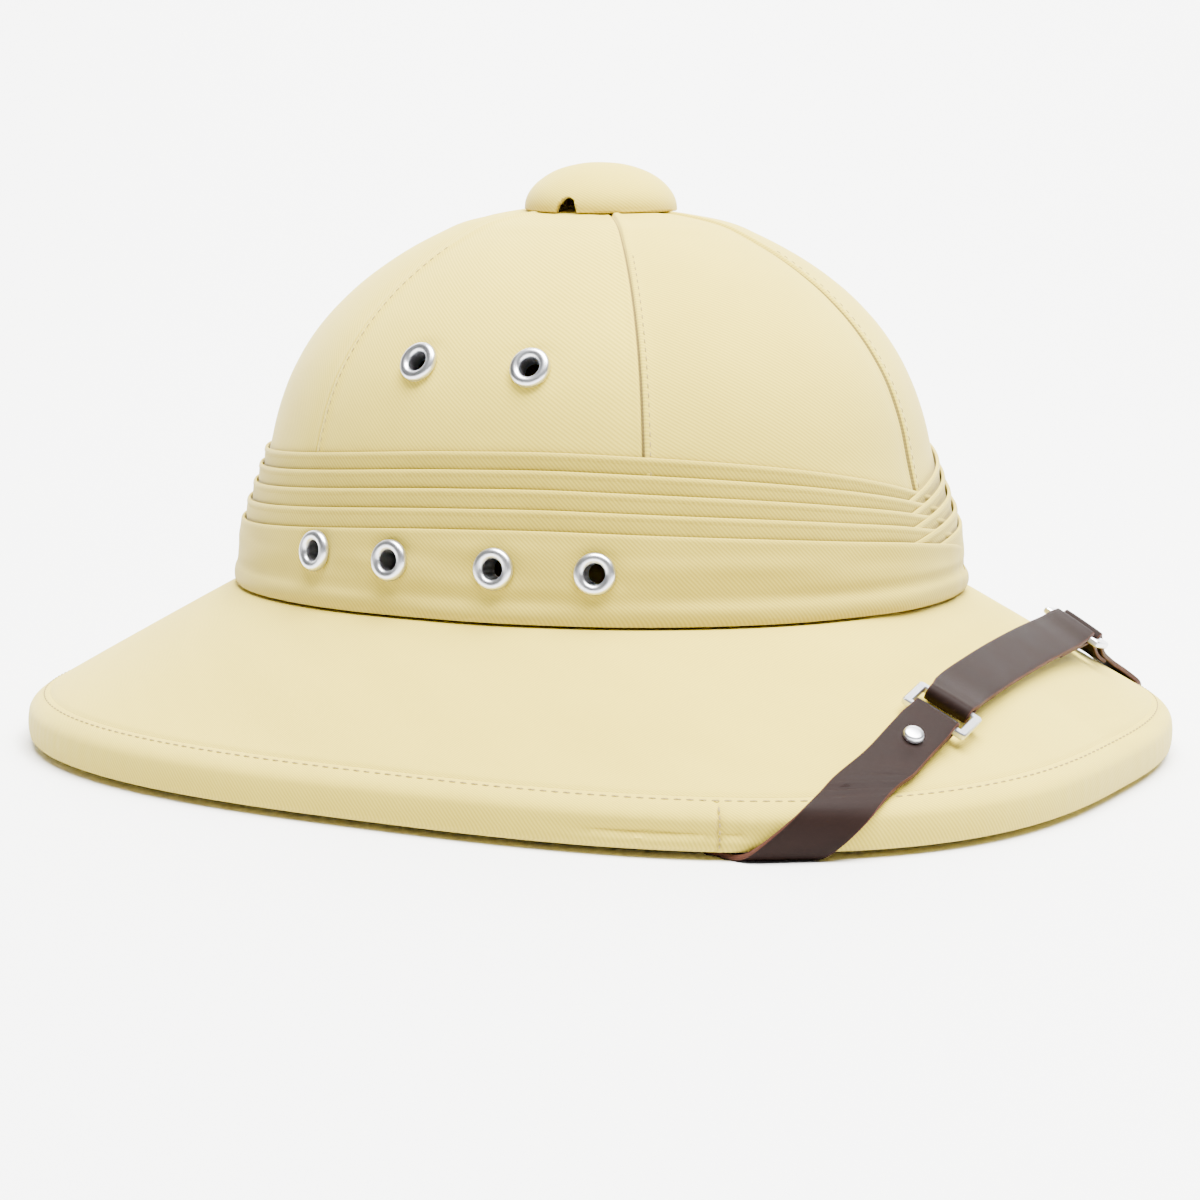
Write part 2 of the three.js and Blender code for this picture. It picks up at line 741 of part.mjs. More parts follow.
// Stations of a strap round the rim, under it and up to the rivet inside the crown.
function anchorStations(sign) {
  const outline = [...rimProfile(), new THREE.Vector2(bindingTurnUnder / 2, 0)];
  const profile = insetProfile(outline, -(strapGap + strapThickness / 2));
  const count = profile.length - 1;
  const lengths = new THREE.Path(profile).getCurveLengths();
  const round = profile.map((point, index) => {
    const before = profile[Math.max(index - 1, 0)];
    const after = profile[Math.min(index + 1, count)];
    const along = after.clone().sub(before).normalize();
    const share = index === 0 ? 0 : lengths[index - 1] / lengths.at(-1);
    const angle = sign * THREE.MathUtils.lerp(rimEntryAngle, rimExitAngle, share);
    const outwards = rimPoint(angle, 0, 0).sub(rimPoint(angle, 1, 0)).normalize();
    const normal = outwards.multiplyScalar(-along.y).setZ(-along.x);
    return {
      point: rimPoint(angle, point.x, rimBottom + point.y),
      normal,
      skewed: rimLine(angle),
    };
  });
  const under = [
    { past: 2, inset: 1, skew: 0.5 },
    { past: 4.5, inset: 1.6, skew: 0 },
  ].map(({ past, inset, skew }) => ({
    point: rimPoint(sign * (rimExitAngle + past), inset * bindingTurnUnder, strapThickness / 2),
    normal: new THREE.Vector3(0, 0, -1),
    skewed: rimLine(sign * (rimExitAngle + past)).multiplyScalar(skew),
  }));
  const heights = [-0.25 * seatHeight, 0, anchorHeight, anchorHeight + 1.5 * rivetRadius];
  const inside = heights.map((height) => {
    const angle = sign * anchorAngle;
    const rise = crownRiseAtHeight(angle, Math.max(height, 0));
    const point = crownPoint(angle, rise, -strapDepth);
    const normal = surfaceNormal(crownSurface, angle, Math.max(rise, 0.01), 0.01).negate();
    return { point: point.setZ(seatAt(angle) + height), normal, skewed: straight };
  });
  return [...round, ...under, ...evenRun(under.at(-1), inside[0], 8), ...inside.slice(1)];
}

const upright = new THREE.Vector3(0, 1, 0);

function studBore(seat) {
  return rod(studShankRadius + clearance, 12 * strapThickness, seat.point, seat.normal);
}

function makeEndStrap(name, slide, route, sign) {
  const fold = foldStations(slide, sign);
  const anchor = anchorStations(sign);
  const upper = smoothRun([fold[0], ...route.map((place) => strapStation(place)), anchor[0]], 12);
  const tail = tailStations(fold.at(-1), route);
  const stations = [...tail.reverse(), ...fold.reverse(), ...upper.slice(1), ...anchor.slice(1)];
  const upperLength = new THREE.CatmullRomCurve3(upper.map((station) => station.point)).getLength();
  const nearStud = smoothRun(upper, 4, (2 * studFromBar) / upperLength);
  const stud = { point: nearStud[2].point, normal: ribbonFrame(nearStud, 2).out };
  const rivet = rivetSeats.find((seat) => seat.sign === sign);
  const bores = [studBore(stud), rod(
    rivetShankRadius + clearance, 4 * crownWall, rivet.centre, rivet.normal,
  )];
  addPiece(name, cutAway(ribbonBody(stations), bores), materials.leather);
  return stud;
}

function makeMiddleStrap() {
  const rightFold = foldStations(slides.right, -1);
  const leftFold = foldStations(slides.left, 1);
  const upper = smoothRun(
    [rightFold[0], ...middleRoute.map((place) => strapStation(place)), leftFold[0]], 18,
  );
  const rightTail = tailStations(rightFold.at(-1), middleRoute);
  const leftTail = tailStations(leftFold.at(-1), [...middleRoute].reverse());
  const stations = [
    ...rightTail.reverse(), ...rightFold.reverse(), ...upper.slice(1, -1), ...leftFold, ...leftTail,
  ];
  addPiece('strap_middle', ribbonBody(stations), materials.leather);
}

// Rectangular ring with chamfered edges that joins two strap ends.
function makeSlide(name, slide) {
  const inside = strapWidth + 2 * clearance;
  const halfAcross = inside / 2 + slideBar - slideChamfer;
  const halfAlong = slideLength / 2 - slideChamfer;
  const holeAcross = inside / 2 + slideChamfer;
  const holeAlong = slideLength / 2 - slideBar + slideChamfer;
  const outline = new THREE.Shape([
    new THREE.Vector2(-halfAlong, -halfAcross), new THREE.Vector2(halfAlong, -halfAcross),
    new THREE.Vector2(halfAlong, halfAcross), new THREE.Vector2(-halfAlong, halfAcross),
  ]);
  outline.holes.push(new THREE.Path([
    new THREE.Vector2(-holeAlong, -holeAcross), new THREE.Vector2(-holeAlong, holeAcross),
    new THREE.Vector2(holeAlong, holeAcross), new THREE.Vector2(holeAlong, -holeAcross),
  ]));
  const geometry = new THREE.ExtrudeGeometry(outline, {
    depth: slideBar - 2 * slideChamfer,
    bevelThickness: slideChamfer,
    bevelSize: slideChamfer,
    bevelSegments: 1,
  }).translate(0, 0, slideChamfer - slideBar / 2);
  const mesh = addPiece(name, toGeometry(toManifold(geometry)), materials.steel);
  const basis = new THREE.Matrix4().makeBasis(
    slide.along, slide.normal.clone().cross(slide.along), slide.normal,
  );
  mesh.setRotationFromMatrix(basis);
  mesh.position.copy(slide.middle);
}

// Domed head on a shank, seated on the strap's face.
function makeFastener(name, seat, head, shank) {
  const profile = [
    [0, head.height],
    [0.55 * head.radius, 0.85 * head.height],
    [head.radius, 0.35 * head.height],
    [head.radius, 0],
    [shank.radius, 0],
    [shank.radius, -shank.length],
    [0, -shank.length],
  ].map(([radius, height]) => new THREE.Vector2(radius, height)).reverse();
  const geometry = toGeometry(toManifold(new THREE.LatheGeometry(profile, roundSides)));
  const mesh = addPiece(name, geometry, materials.steel);
  mesh.quaternion.setFromUnitVectors(upright, seat.normal);
  mesh.position.copy(seat.point).addScaledVector(seat.normal, strapThickness / 2 + clearance);
}

function makeStrapFittings(studSeats) {
  Object.entries(slides).forEach(([side, slide]) => makeSlide(`slide_${side}`, slide));
  Object.entries(studSeats).forEach(([side, seat]) => makeFastener(
    `stud_${side}`,
    seat,
    { radius: studRadius, height: studHeadHeight },
    { radius: studShankRadius, length: 2 * strapThickness + clearance },
  ));
  rivetSeats.forEach((seat) => makeFastener(
    `rivet_${seat.side}`,
    { point: seat.centre, normal: seat.normal.clone().negate() },
    { radius: rivetRadius, height: rivetHeadHeight },
    { radius: rivetShankRadius, length: strapThickness + crownWall },
  ));
}

makeCrown();
makeBrim();
makeBinding();
makeBand();
makeEyelets();
makeButton();
makeStem();
makeMiddleStrap();
makeStrapFittings({
  right: makeEndStrap('strap_right', slides.right, rightRoute, 1),
  left: makeEndStrap('strap_left', slides.left, leftRoute, -1),
});

export default helmet;
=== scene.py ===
import math

import bmesh
import bpy
import numpy as np
from mathutils import Matrix, Vector, noise


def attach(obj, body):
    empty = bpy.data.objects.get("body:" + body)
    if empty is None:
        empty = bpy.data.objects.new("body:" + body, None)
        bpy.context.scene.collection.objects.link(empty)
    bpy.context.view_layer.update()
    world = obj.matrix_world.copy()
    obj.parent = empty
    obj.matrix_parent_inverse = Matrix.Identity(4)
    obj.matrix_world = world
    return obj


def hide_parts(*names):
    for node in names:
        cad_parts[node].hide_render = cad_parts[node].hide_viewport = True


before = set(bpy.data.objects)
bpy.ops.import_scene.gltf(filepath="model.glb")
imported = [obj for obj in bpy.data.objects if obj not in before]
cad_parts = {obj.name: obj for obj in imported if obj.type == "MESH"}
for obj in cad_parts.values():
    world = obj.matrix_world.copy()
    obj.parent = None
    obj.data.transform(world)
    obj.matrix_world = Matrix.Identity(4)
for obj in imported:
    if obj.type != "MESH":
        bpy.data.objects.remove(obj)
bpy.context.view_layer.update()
print("frame loaded")

# Shapes are worked out in millimetres, z up from the floor, front towards -Y.
# Angles run round the head from the front towards the wearer's right.
shape = {
    "gap": 0.3,
    "strapWidth": 14.5,
    "strapThickness": 1.5,
    "rimHalfLength": 170.0,
    "rimHalfWidth": 146.0,
    "rimSquareness": 2.65,
    "rimWidestForward": 6.0,
    "rimUpright": 8.0,
    "shoulderWidth": 4.0,
    "shoulderRise": 4.8,
    "headHalfLength": 109.2,
    "headHalfWidth": 93.2,
    "headSquareness": 2.17,
    "seatHeight": 47.3,
    "seatFrontRise": 1.8,
    "domeHeight": 114.2,
    "crownWall": 3.0,
    "bandReach": 3.3,
}
rimBottom = shape["strapThickness"] + 2 * shape["gap"]
seatZ = rimBottom + shape["seatHeight"]
topZ = seatZ + shape["domeHeight"]

# Crown sections, as shares of its height and of its half sizes.
crownRise = [0, .083, .166, .27, .375, .44, .49, .593, .697, .79, .87, .933, .96, .984, 1]
crownSpread = [1, .995, .984, .957, .93, .914, .898, .851, .777, .68, .564, .44, .372, .245, 0]


def smoothTable(x, xs, ys):
    xs, ys = np.asarray(xs, float), np.asarray(ys, float)
    slopes = np.gradient(ys, xs)
    i = np.clip(np.searchsorted(xs, x, side="right") - 1, 0, len(xs) - 2)
    width = xs[i + 1] - xs[i]
    t = (x - xs[i]) / width
    return (ys[i] * (1 + 2 * t) * (1 - t) ** 2 + slopes[i] * width * t * (1 - t) ** 2
            + ys[i + 1] * t * t * (3 - 2 * t) + slopes[i + 1] * width * t * t * (t - 1))


def smoothStep(x, start, end):
    t = np.clip((x - start) / (end - start), 0, 1)
    return t * t * (3 - 2 * t)


def bell(x, width):
    return np.exp(-(x / width) ** 2)


def ovalPoints(angle, halfLength, halfWidth, squareness, forward, height):
    turn = np.radians(angle)
    across = np.sign(np.sin(turn)) * np.abs(np.sin(turn)) ** (2 / squareness)
    along = np.sign(np.cos(turn)) * np.abs(np.cos(turn)) ** (2 / squareness)
    return np.stack(np.broadcast_arrays(
        -halfWidth * across, -halfLength * along - forward * across ** 2, height), -1)


def seatAt(angle):
    return seatZ + shape["seatFrontRise"] * np.cos(np.radians(angle))


def rimPoints(angle, inset, height):
    return ovalPoints(angle, shape["rimHalfLength"] - inset, shape["rimHalfWidth"] - inset,
                      shape["rimSquareness"], shape["rimWidestForward"], height)


def headPoints(angle, outset, height):
    return ovalPoints(angle, shape["headHalfLength"] + outset, shape["headHalfWidth"] + outset,
                      shape["headSquareness"], 0, height)


def spreadAt(rise):
    return np.sqrt(np.maximum(smoothTable(rise, crownRise, np.square(crownSpread)), 0))


def crownSurface(angle, rise):
    spread = spreadAt(rise)
    height = seatAt(angle) * (1 - rise) + topZ * rise
    return ovalPoints(angle, shape["headHalfLength"] * spread, shape["headHalfWidth"] * spread,
                      shape["headSquareness"], 0, height)


def unit(vectors):
    return vectors / np.linalg.norm(vectors, axis=-1, keepdims=True)


def runLength(points):
    # distance along a line of points, from its first
    return np.concatenate([[0], np.cumsum(np.linalg.norm(np.diff(points, axis=0), axis=1))])


def surfaceNormals(surface, angle, value, step):
    alongAngle = surface(angle + 1, value) - surface(angle - 1, value)
    alongValue = surface(angle, value + step) - surface(angle, value - step)
    return unit(np.cross(alongValue, alongAngle))


def crownPoints(angle, rise, standOff):
    normals = surfaceNormals(crownSurface, angle, np.clip(rise, 0.004, 0.992), 0.004)
    return crownSurface(angle, rise) + normals * np.asarray(standOff)[..., None]


def riseAt(angle, height):
    seat = seatAt(angle)
    return (seatZ + height - seat) / (topZ - seat)


def brimSurface(angle, down):
    down = np.asarray(down)[..., None]
    start = headPoints(angle, shape["bandReach"] + shape["gap"], seatAt(angle))
    end = rimPoints(angle, shape["shoulderWidth"],
                    rimBottom + shape["rimUpright"] + shape["shoulderRise"])
    return start * (1 - down) + end * down


def brimNormals(angle, down):
    return -surfaceNormals(brimSurface, angle, down, 0.02)


def softNoise(points, size, seed=0.0):
    # smooth unevenness: one value for each point, features about size mm across
    flat = points.reshape(-1, 3) / size + seed
    values = np.array([noise.noise(Vector(point)) for point in flat])
    return values.reshape(points.shape[:-1])


def gridLengths(points, axis):
    # distance along a grid of points, in metres, for cloth coordinates
    steps = np.linalg.norm(np.diff(points, axis=axis), axis=-1)
    lengths = np.cumsum(steps, axis=axis) / 1000
    return np.concatenate([np.zeros_like(np.take(lengths, [0], axis)), lengths], axis)


def gridMesh(name, grids, materials, sharpAngle=50):
    # grids: (points in mm, cloth coordinates in m, material slot)
    points, coords, faces, slots = [], [], [], []
    count = 0
    for grid, cloth, slot in grids:
        rows, columns = grid.shape[:2]
        index = np.arange(rows * columns).reshape(rows, columns) + count
        quads = np.stack([index[:-1, :-1], index[1:, :-1], index[1:, 1:], index[:-1, 1:]], -1)
        points.append(grid.reshape(-1, 3) / 1000)
        coords.append(cloth.reshape(-1, 2))
        faces.append(quads.reshape(-1, 4))
        slots += [slot] * len(faces[-1])
        count += rows * columns
    faces, coords = np.concatenate(faces), np.concatenate(coords)
    mesh = bpy.data.meshes.new(name)
    mesh.from_pydata(np.concatenate(points).tolist(), [], faces.tolist())
    mesh.uv_layers.new(name="cloth").data.foreach_set("uv", coords[faces.ravel()].ravel())
    mesh.polygons.foreach_set("material_index", slots)
    work = bmesh.new()
    work.from_mesh(mesh)
    bmesh.ops.remove_doubles(work, verts=work.verts, dist=2e-6)
    bmesh.ops.recalc_face_normals(work, faces=work.faces)
    work.to_mesh(mesh)
    work.free()
    for material in materials:
        mesh.materials.append(material)
    mesh.shade_smooth()
    mesh.set_sharp_from_angle(angle=math.radians(sharpAngle))
    piece = bpy.data.objects.new(name, mesh)
    bpy.context.collection.objects.link(piece)
    return piece


def clothCoords(points):
    return np.stack([gridLengths(points, 0), gridLengths(points, 1)], -1)


def latheMesh(name, profile, material, sides=48, sharpAngle=40):
    # profile: (radius, height) points, turned round the z axis
    turn = np.linspace(0, 2 * math.pi, sides + 1)[:, None]
    radius, height = np.array(profile, float).T
    points = np.stack(np.broadcast_arrays(
        radius * np.cos(turn), radius * np.sin(turn), height), -1)
    return gridMesh(name, [(points, clothCoords(points), 0)], [material], sharpAngle)


def placeAlong(piece, centre, normal):
    turn = Vector(normal).to_track_quat("Z", "Y").to_matrix().to_4x4()
    piece.data.transform(Matrix.Translation(Vector(centre) / 1000) @ turn)


def joinMeshes(name, pieces):
    # one object from several, keeping their materials
    for piece in bpy.context.selected_objects:
        piece.select_set(False)
    for piece in pieces:
        piece.select_set(True)
    bpy.context.view_layer.objects.active = pieces[0]
    bpy.ops.object.join()
    pieces[0].name = name
    return pieces[0]


def carve(piece, cutters):
    # takes the cutters away from the piece
    cutter = joinMeshes("cutter", cutters)
    cut = piece.modifiers.new("cut", "BOOLEAN")
    cut.operation = "DIFFERENCE"
    cut.solver = "EXACT"
    cut.object = cutter
    bpy.context.view_layer.update()
    mesh = bpy.data.meshes.new_from_object(
        piece.evaluated_get(bpy.context.evaluated_depsgraph_get()))
    piece.modifiers.clear()
    piece.data = mesh
    bpy.data.objects.remove(cutter)


def cutHoles(piece, holes):
    # holes: (centre, normal, radius, length) in mm
    cutters = []
    for centre, normal, radius, length in holes:
        profile = [(0, -length / 2), (radius, -length / 2), (radius, length / 2), (0, length / 2)]
        cutter = latheMesh("cutter", profile, piece.data.materials[0], sides=24)
        placeAlong(cutter, centre, normal)
        cutters.append(cutter)
    carve(piece, cutters)


def stand(piece, node):
    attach(piece, "root")
    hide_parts(node)


def linear(hexColour):
    values = [int(hexColour[i:i + 2], 16) / 255 for i in (1, 3, 5)]
    return [v / 12.92 if v <= 0.04045 else ((v + 0.055) / 1.055) ** 2.4 for v in values] + [1]


def addNode(tree, kind, inputs=(), **settings):
    node = tree.nodes.new("ShaderNode" + kind)
    for key, value in settings.items():
        setattr(node, key, value)
    for socket, value in dict(inputs).items():
        if isinstance(value, bpy.types.NodeSocket):
            tree.links.new(value, node.inputs[socket])
        else:
            node.inputs[socket].default_value = value
    return node


def newMaterial(name):
    material = bpy.data.materials.new(name)
    material.use_nodes = True
    tree = material.node_tree
    return material, tree, tree.nodes["Principled BSDF"]


cottonTwill = {
    "light": "#dcc646",
    "shade": "#b49f30",
    # share of the colour kept on upright faces: painted shade for the weaker light there
    "uprightShade": 0.74,
    "pitchMm": 0.95,
    "slopeDegrees": 38,
    "waleDepthMm": 0.06,
    "fuzzMm": 0.25,
    "mottleMm": 35,
    "roughness": 0.92,
}


def makeTwill(name, values, slope=None):
    # cotton drill: matt cloth with fine slanting wales, a little mottled by wear
    # real wales lie about 0.6 mm apart; they are drawn coarser, at pitchMm, so that they show
    material, tree, surface = newMaterial(name)
    place = addNode(tree, "UVMap", uv_map="cloth").outputs["UV"]
    slopeTurn = math.radians(values["slopeDegrees"] if slope is None else slope)
    turned = addNode(tree, "Mapping", {"Vector": place, "Rotation": (0, 0, slopeTurn)})
    wales = addNode(tree, "TexWave", {
        "Vector": turned.outputs["Vector"],
        "Scale": math.pi / 10 / (values["pitchMm"] / 1000),
        "Distortion": 1.2, "Detail": 2.0, "Detail Scale": 0.35,
    }, bands_direction="Y")
    fuzz = addNode(tree, "TexNoise", {
        "Vector": place, "Scale": 1000 / values["fuzzMm"], "Detail": 2.0})
    mottle = addNode(tree, "TexNoise", {
        "Vector": place, "Scale": 1000 / values["mottleMm"], "Detail": 3.0})
    pattern = addNode(tree, "Mix", {
        "Factor": 0.35, "A": wales.outputs["Fac"], "B": fuzz.outputs["Fac"]}, data_type="FLOAT")
    tone = addNode(tree, "MapRange", {
        "Value": pattern.outputs["Result"], "To Min": 0.1, "To Max": 1.0})
    worn = addNode(tree, "MapRange", {
        "Value": mottle.outputs["Fac"], "From Min": 0.3, "From Max": 0.7,
        "To Min": -0.08, "To Max": 0.08})
    share = addNode(tree, "Math", {0: tone.outputs["Result"], 1: worn.outputs["Result"]},
                    operation="ADD")
    colour = addNode(tree, "Mix", {
        "Factor": share.outputs["Value"], "A": linear(values["shade"]),
        "B": linear(values["light"])}, data_type="RGBA")
    # painted light: the colour is darkened on faces turned upright or downward and kept full on faces
    # turned to the sky, as light from above would fall
    facing = addNode(tree, "NewGeometry").outputs["Normal"]
    upwards = addNode(tree, "SeparateXYZ", {"Vector": facing}).outputs["Z"]
    paintedTopLight = addNode(tree, "MapRange", {
        "Value": upwards, "From Min": -0.1, "From Max": 0.75, "To Min": values["uprightShade"],
        "To Max": 1.0}, interpolation_type="SMOOTHSTEP")
    paintedLightColour = addNode(tree, "VectorMath", {
        0: colour.outputs["Result"], "Scale": paintedTopLight.outputs["Result"]}, operation="SCALE")
    relief = addNode(tree, "Bump", {
        "Height": pattern.outputs["Result"], "Strength": 0.55,
        "Distance": values["waleDepthMm"] / 1000})
    tree.links.new(paintedLightColour.outputs["Vector"], surface.inputs["Base Color"])
    tree.links.new(relief.outputs["Normal"], surface.inputs["Normal"])
    surface.inputs["Roughness"].default_value = values["roughness"]
    surface.inputs["Sheen Weight"].default_value = 0.15
    surface.inputs["Specular IOR Level"].default_value = 0.25
    return material


# thread colour darker than the cloth: painted shade of the stitch holes
cottonThread = {"colour": "#8f7d45", "roughness": 0.8, "plyMm": 0.5}


def makeThread(values):
    # sewing cotton, a real thread coloured darker than the cloth as painted shade of its stitch holes;
    # a twisted ply that catches a little light
    material, tree, surface = newMaterial("sewing cotton thread")
    place = addNode(tree, "UVMap", uv_map="cloth").outputs["UV"]
    ply = addNode(tree, "TexWave", {
        "Vector": place, "Scale": math.pi / 10 / (values["plyMm"] / 1000)},
        bands_direction="DIAGONAL")
    relief = addNode(tree, "Bump", {
        "Height": ply.outputs["Fac"], "Strength": 0.6, "Distance": 0.0001})
    surface.inputs["Base Color"].default_value = linear(values["colour"])
    surface.inputs["Roughness"].default_value = values["roughness"]
    tree.links.new(relief.outputs["Normal"], surface.inputs["Normal"])
    return material


strapLeather = {
    "face": "#130b08",
    "worn": "#201411",
    "edge": "#56352a",
    "grainMm": 0.7,
    "grainDepthMm": 0.05,
    "wearMm": 12,
    "roughness": 0.56,
}


def makeLeather(name, values, face, worn, roughness):
    # vegetable-tanned leather: fine pebbled grain, satin finish that greys under soft light
    material, tree, surface = newMaterial(name)
    place = addNode(tree, "UVMap", uv_map="cloth").outputs["UV"]
    grain = addNode(tree, "TexVoronoi", {
        "Vector": place, "Scale": 1000 / values["grainMm"]}, feature="SMOOTH_F1")
    pores = addNode(tree, "TexNoise", {
        "Vector": place, "Scale": 2500 / values["grainMm"], "Detail": 3.0})
    wear = addNode(tree, "TexNoise", {
        "Vector": place, "Scale": 1000 / values["wearMm"], "Detail": 4.0})
    colour = addNode(tree, "Mix", {
        "Factor": wear.outputs["Fac"], "A": linear(face), "B": linear(worn)}, data_type="RGBA")
    height = addNode(tree, "Mix", {
        "Factor": 0.4, "A": grain.outputs["Distance"], "B": pores.outputs["Fac"]},
        data_type="FLOAT")
    relief = addNode(tree, "Bump", {
        "Height": height.outputs["Result"], "Strength": 0.6,
        "Distance": values["grainDepthMm"] / 1000})
    gloss = addNode(tree, "MapRange", {
        "Value": wear.outputs["Fac"], "To Min": roughness - 0.06, "To Max": roughness + 0.08})
    surface.inputs["Specular IOR Level"].default_value = 0.06
    tree.links.new(colour.outputs["Result"], surface.inputs["Base Color"])
    tree.links.new(gloss.outputs["Result"], surface.inputs["Roughness"])
    tree.links.new(relief.outputs["Normal"], surface.inputs["Normal"])
    return material


nickelPlate = {"colour": "#d2d3d7", "roughness": 0.3, "smearMm": 6}


def makeNickel(values):
    # bright nickel plate: clear reflections softened by fine handling marks
    material, tree, surface = newMaterial("bright nickel plate")
    place = addNode(tree, "TexCoord").outputs["Object"]
    smear = addNode(tree, "TexNoise", {
        "Vector": place, "Scale": 1000 / values["smearMm"], "Detail": 4.0})
    gloss = addNode(tree, "MapRange", {
        "Value": smear.outputs["Fac"], "To Min": values["roughness"] - 0.06,
        "To Max": values["roughness"] + 0.1})
    surface.inputs["Base Color"].default_value = linear(values["colour"])
    surface.inputs["Metallic"].default_value = 1.0
    tree.links.new(gloss.outputs["Result"], surface.inputs["Roughness"])
    return material


# painted shade: a darker copy of the twill's colours for the band, standing in for the shade on its
# upright pleats
paintedBandShade = {"light": "#cfba42", "shade": "#a5912c"}
seamTone = {"light": "#8a7836", "shade": "#6c5c26"}
crownCloth = makeTwill("cotton twill, crown", cottonTwill)
brimCloth = makeTwill("cotton twill, brim", cottonTwill, slope=52)
bandCloth = makeTwill("cotton twill, band", {**cottonTwill, **paintedBandShade}, slope=45)
seamCloth = makeTwill("cotton twill, shaded seam", {**cottonTwill, **seamTone})
thread = makeThread(cottonThread)
leather = makeLeather("brown strap leather", strapLeather, strapLeather["face"],
                      strapLeather["worn"], strapLeather["roughness"])
rawEdge = makeLeather("raw leather edge", strapLeather, strapLeather["face"],
                      strapLeather["edge"], 0.6)
nickel = makeNickel(nickelPlate)
print("materials made")


eyelet = {
    "radius": 6.0,
    "holeRadius": 2.9,
    "tubeWall": 0.8,
    "rimHeight": 1.7,
    "tail": 0.8,
    "dimple": 0.35,
    "upperHeight": 71,
    "upperSpread": 20,
    "lowerHeight": 15.8,
    "lowerSpacing": 15,
}


def eyeletPlaces():
    places = []
    for side, middle in (("right", 90), ("left", 270)):
        for index, share in enumerate((-0.5, 0.5)):
            places.append((f"eyelet_upper_{side}_{index + 1}",
                           middle + share * eyelet["upperSpread"], eyelet["upperHeight"], 0.0))
        for index, share in enumerate((-1.5, -0.5, 0.5, 1.5)):
            places.append((f"eyelet_lower_{side}_{index + 1}",
                           middle + share * eyelet["lowerSpacing"], eyelet["lowerHeight"],
                           shape["bandReach"]))
    found = []
    for name, angle, height, standOff in places:
        rise = riseAt(angle, height)
        found.append({
            "name": name,
            "standOff": standOff,
            "centre": crownPoints(angle, rise, standOff),
            "normal": surfaceNormals(crownSurface, angle, rise, 0.01),
        })
    return found


eyelets = eyeletPlaces()
eyeletBore = eyelet["holeRadius"] + eyelet["tubeWall"] + 0.15
eyeletHoles = [(e["centre"], e["normal"], eyeletBore, 30) for e in eyelets]
lowerHoles = eyeletHoles[2:6] + eyeletHoles[8:]


def eyeletDimple(points):
    # the cloth is drawn in round each eyelet
    depth = np.zeros(points.shape[:-1])
    for place in eyelets:
        reach = np.linalg.norm(points - place["centre"], axis=-1)
        depth -= eyelet["dimple"] * bell(reach - eyelet["radius"], 1.6)
    return depth


crown = {
    "panels": 6,
    "rows": 120,
    "seamDepth": 0.7,
    "seamWidth": 0.5,
    "allowanceWidth": 2.6,
    "allowanceHeight": 0.45,
    "stitchBeside": 2.1,
    "stitchPitch": 2.8,
    "stitchLength": 1.5,
    "stitchRadius": 0.17,
    "uneven": 0.3,
}


def stitchMesh(path, normals, radius):
    # short threads lying along pairs of points
    grids = []
    turn = np.linspace(0, 2 * math.pi, 7)
    for (start, end), normal in zip(path, normals):
        along = end - start
        across = unit(np.cross(along, normal))
        share = np.array([0, .08, .3, .7, .92, 1])
        thick = np.array([0.15, .75, 1, 1, .75, 0.15]) * radius
        lift = np.array([-.6, .1, .45, .45, .1, -.6]) * radius
        rings = [start + along * s + normal * lift[i]
                 + thick[i] * (np.cos(turn)[:, None] * across + 0.7 * np.sin(turn)[:, None] * normal)
                 for i, s in enumerate(share)]
        points = np.stack(rings)
        grids.append((points, clothCoords(points), 0))
    return gridMesh("stitches", grids, [thread])


def crownRelief(points, seamDistance):
    # seamDistance: signed distance from the nearest seam, positive on the side sewn down flat
    groove = -crown["seamDepth"] * bell(seamDistance, crown["seamWidth"])
    allowance = crown["allowanceHeight"] * (
        smoothStep(seamDistance, 0.2, 0.9)
        * (1 - smoothStep(seamDistance, crown["allowanceWidth"] - 0.6, crown["allowanceWidth"] + 0.6)))
    pull = -0.25 * bell(seamDistance + 2.5, 2.2)
    fullness = crown["uneven"] * softNoise(points, 38.0) + 0.06 * softNoise(points, 7.0)
    return groove + allowance + pull + fullness + eyeletDimple(points)


def crownStitches():
    # a row sewn beside each seam, through the allowance under it
    rise = np.linspace(0.1, 0.9, 900)
    pairs, normals = [], []
    for seamAngle in np.arange(crown["panels"]) * 360 / crown["panels"]:
        base = crownSurface(seamAngle, rise)
        radius = np.hypot(base[:, 0], base[:, 1])
        angle = seamAngle - np.degrees(crown["stitchBeside"] / radius)
        line = crownPoints(angle, rise, crownRelief(base, crown["stitchBeside"] + 0 * rise))
        length = runLength(line)
        starts = np.arange(0, length[-1] - 2, crown["stitchPitch"])
        ends = np.stack([starts, starts + crown["stitchLength"]], -1)
        pairs.append(np.stack([np.interp(ends, length, line[:, i]) for i in range(3)], -1))
        at = np.interp(starts, length, rise)
        middle = np.interp(starts, length, angle)
        normals.append(surfaceNormals(crownSurface, middle, at, 0.004))
    return stitchMesh(np.concatenate(pairs), np.concatenate(normals), crown["stitchRadius"])


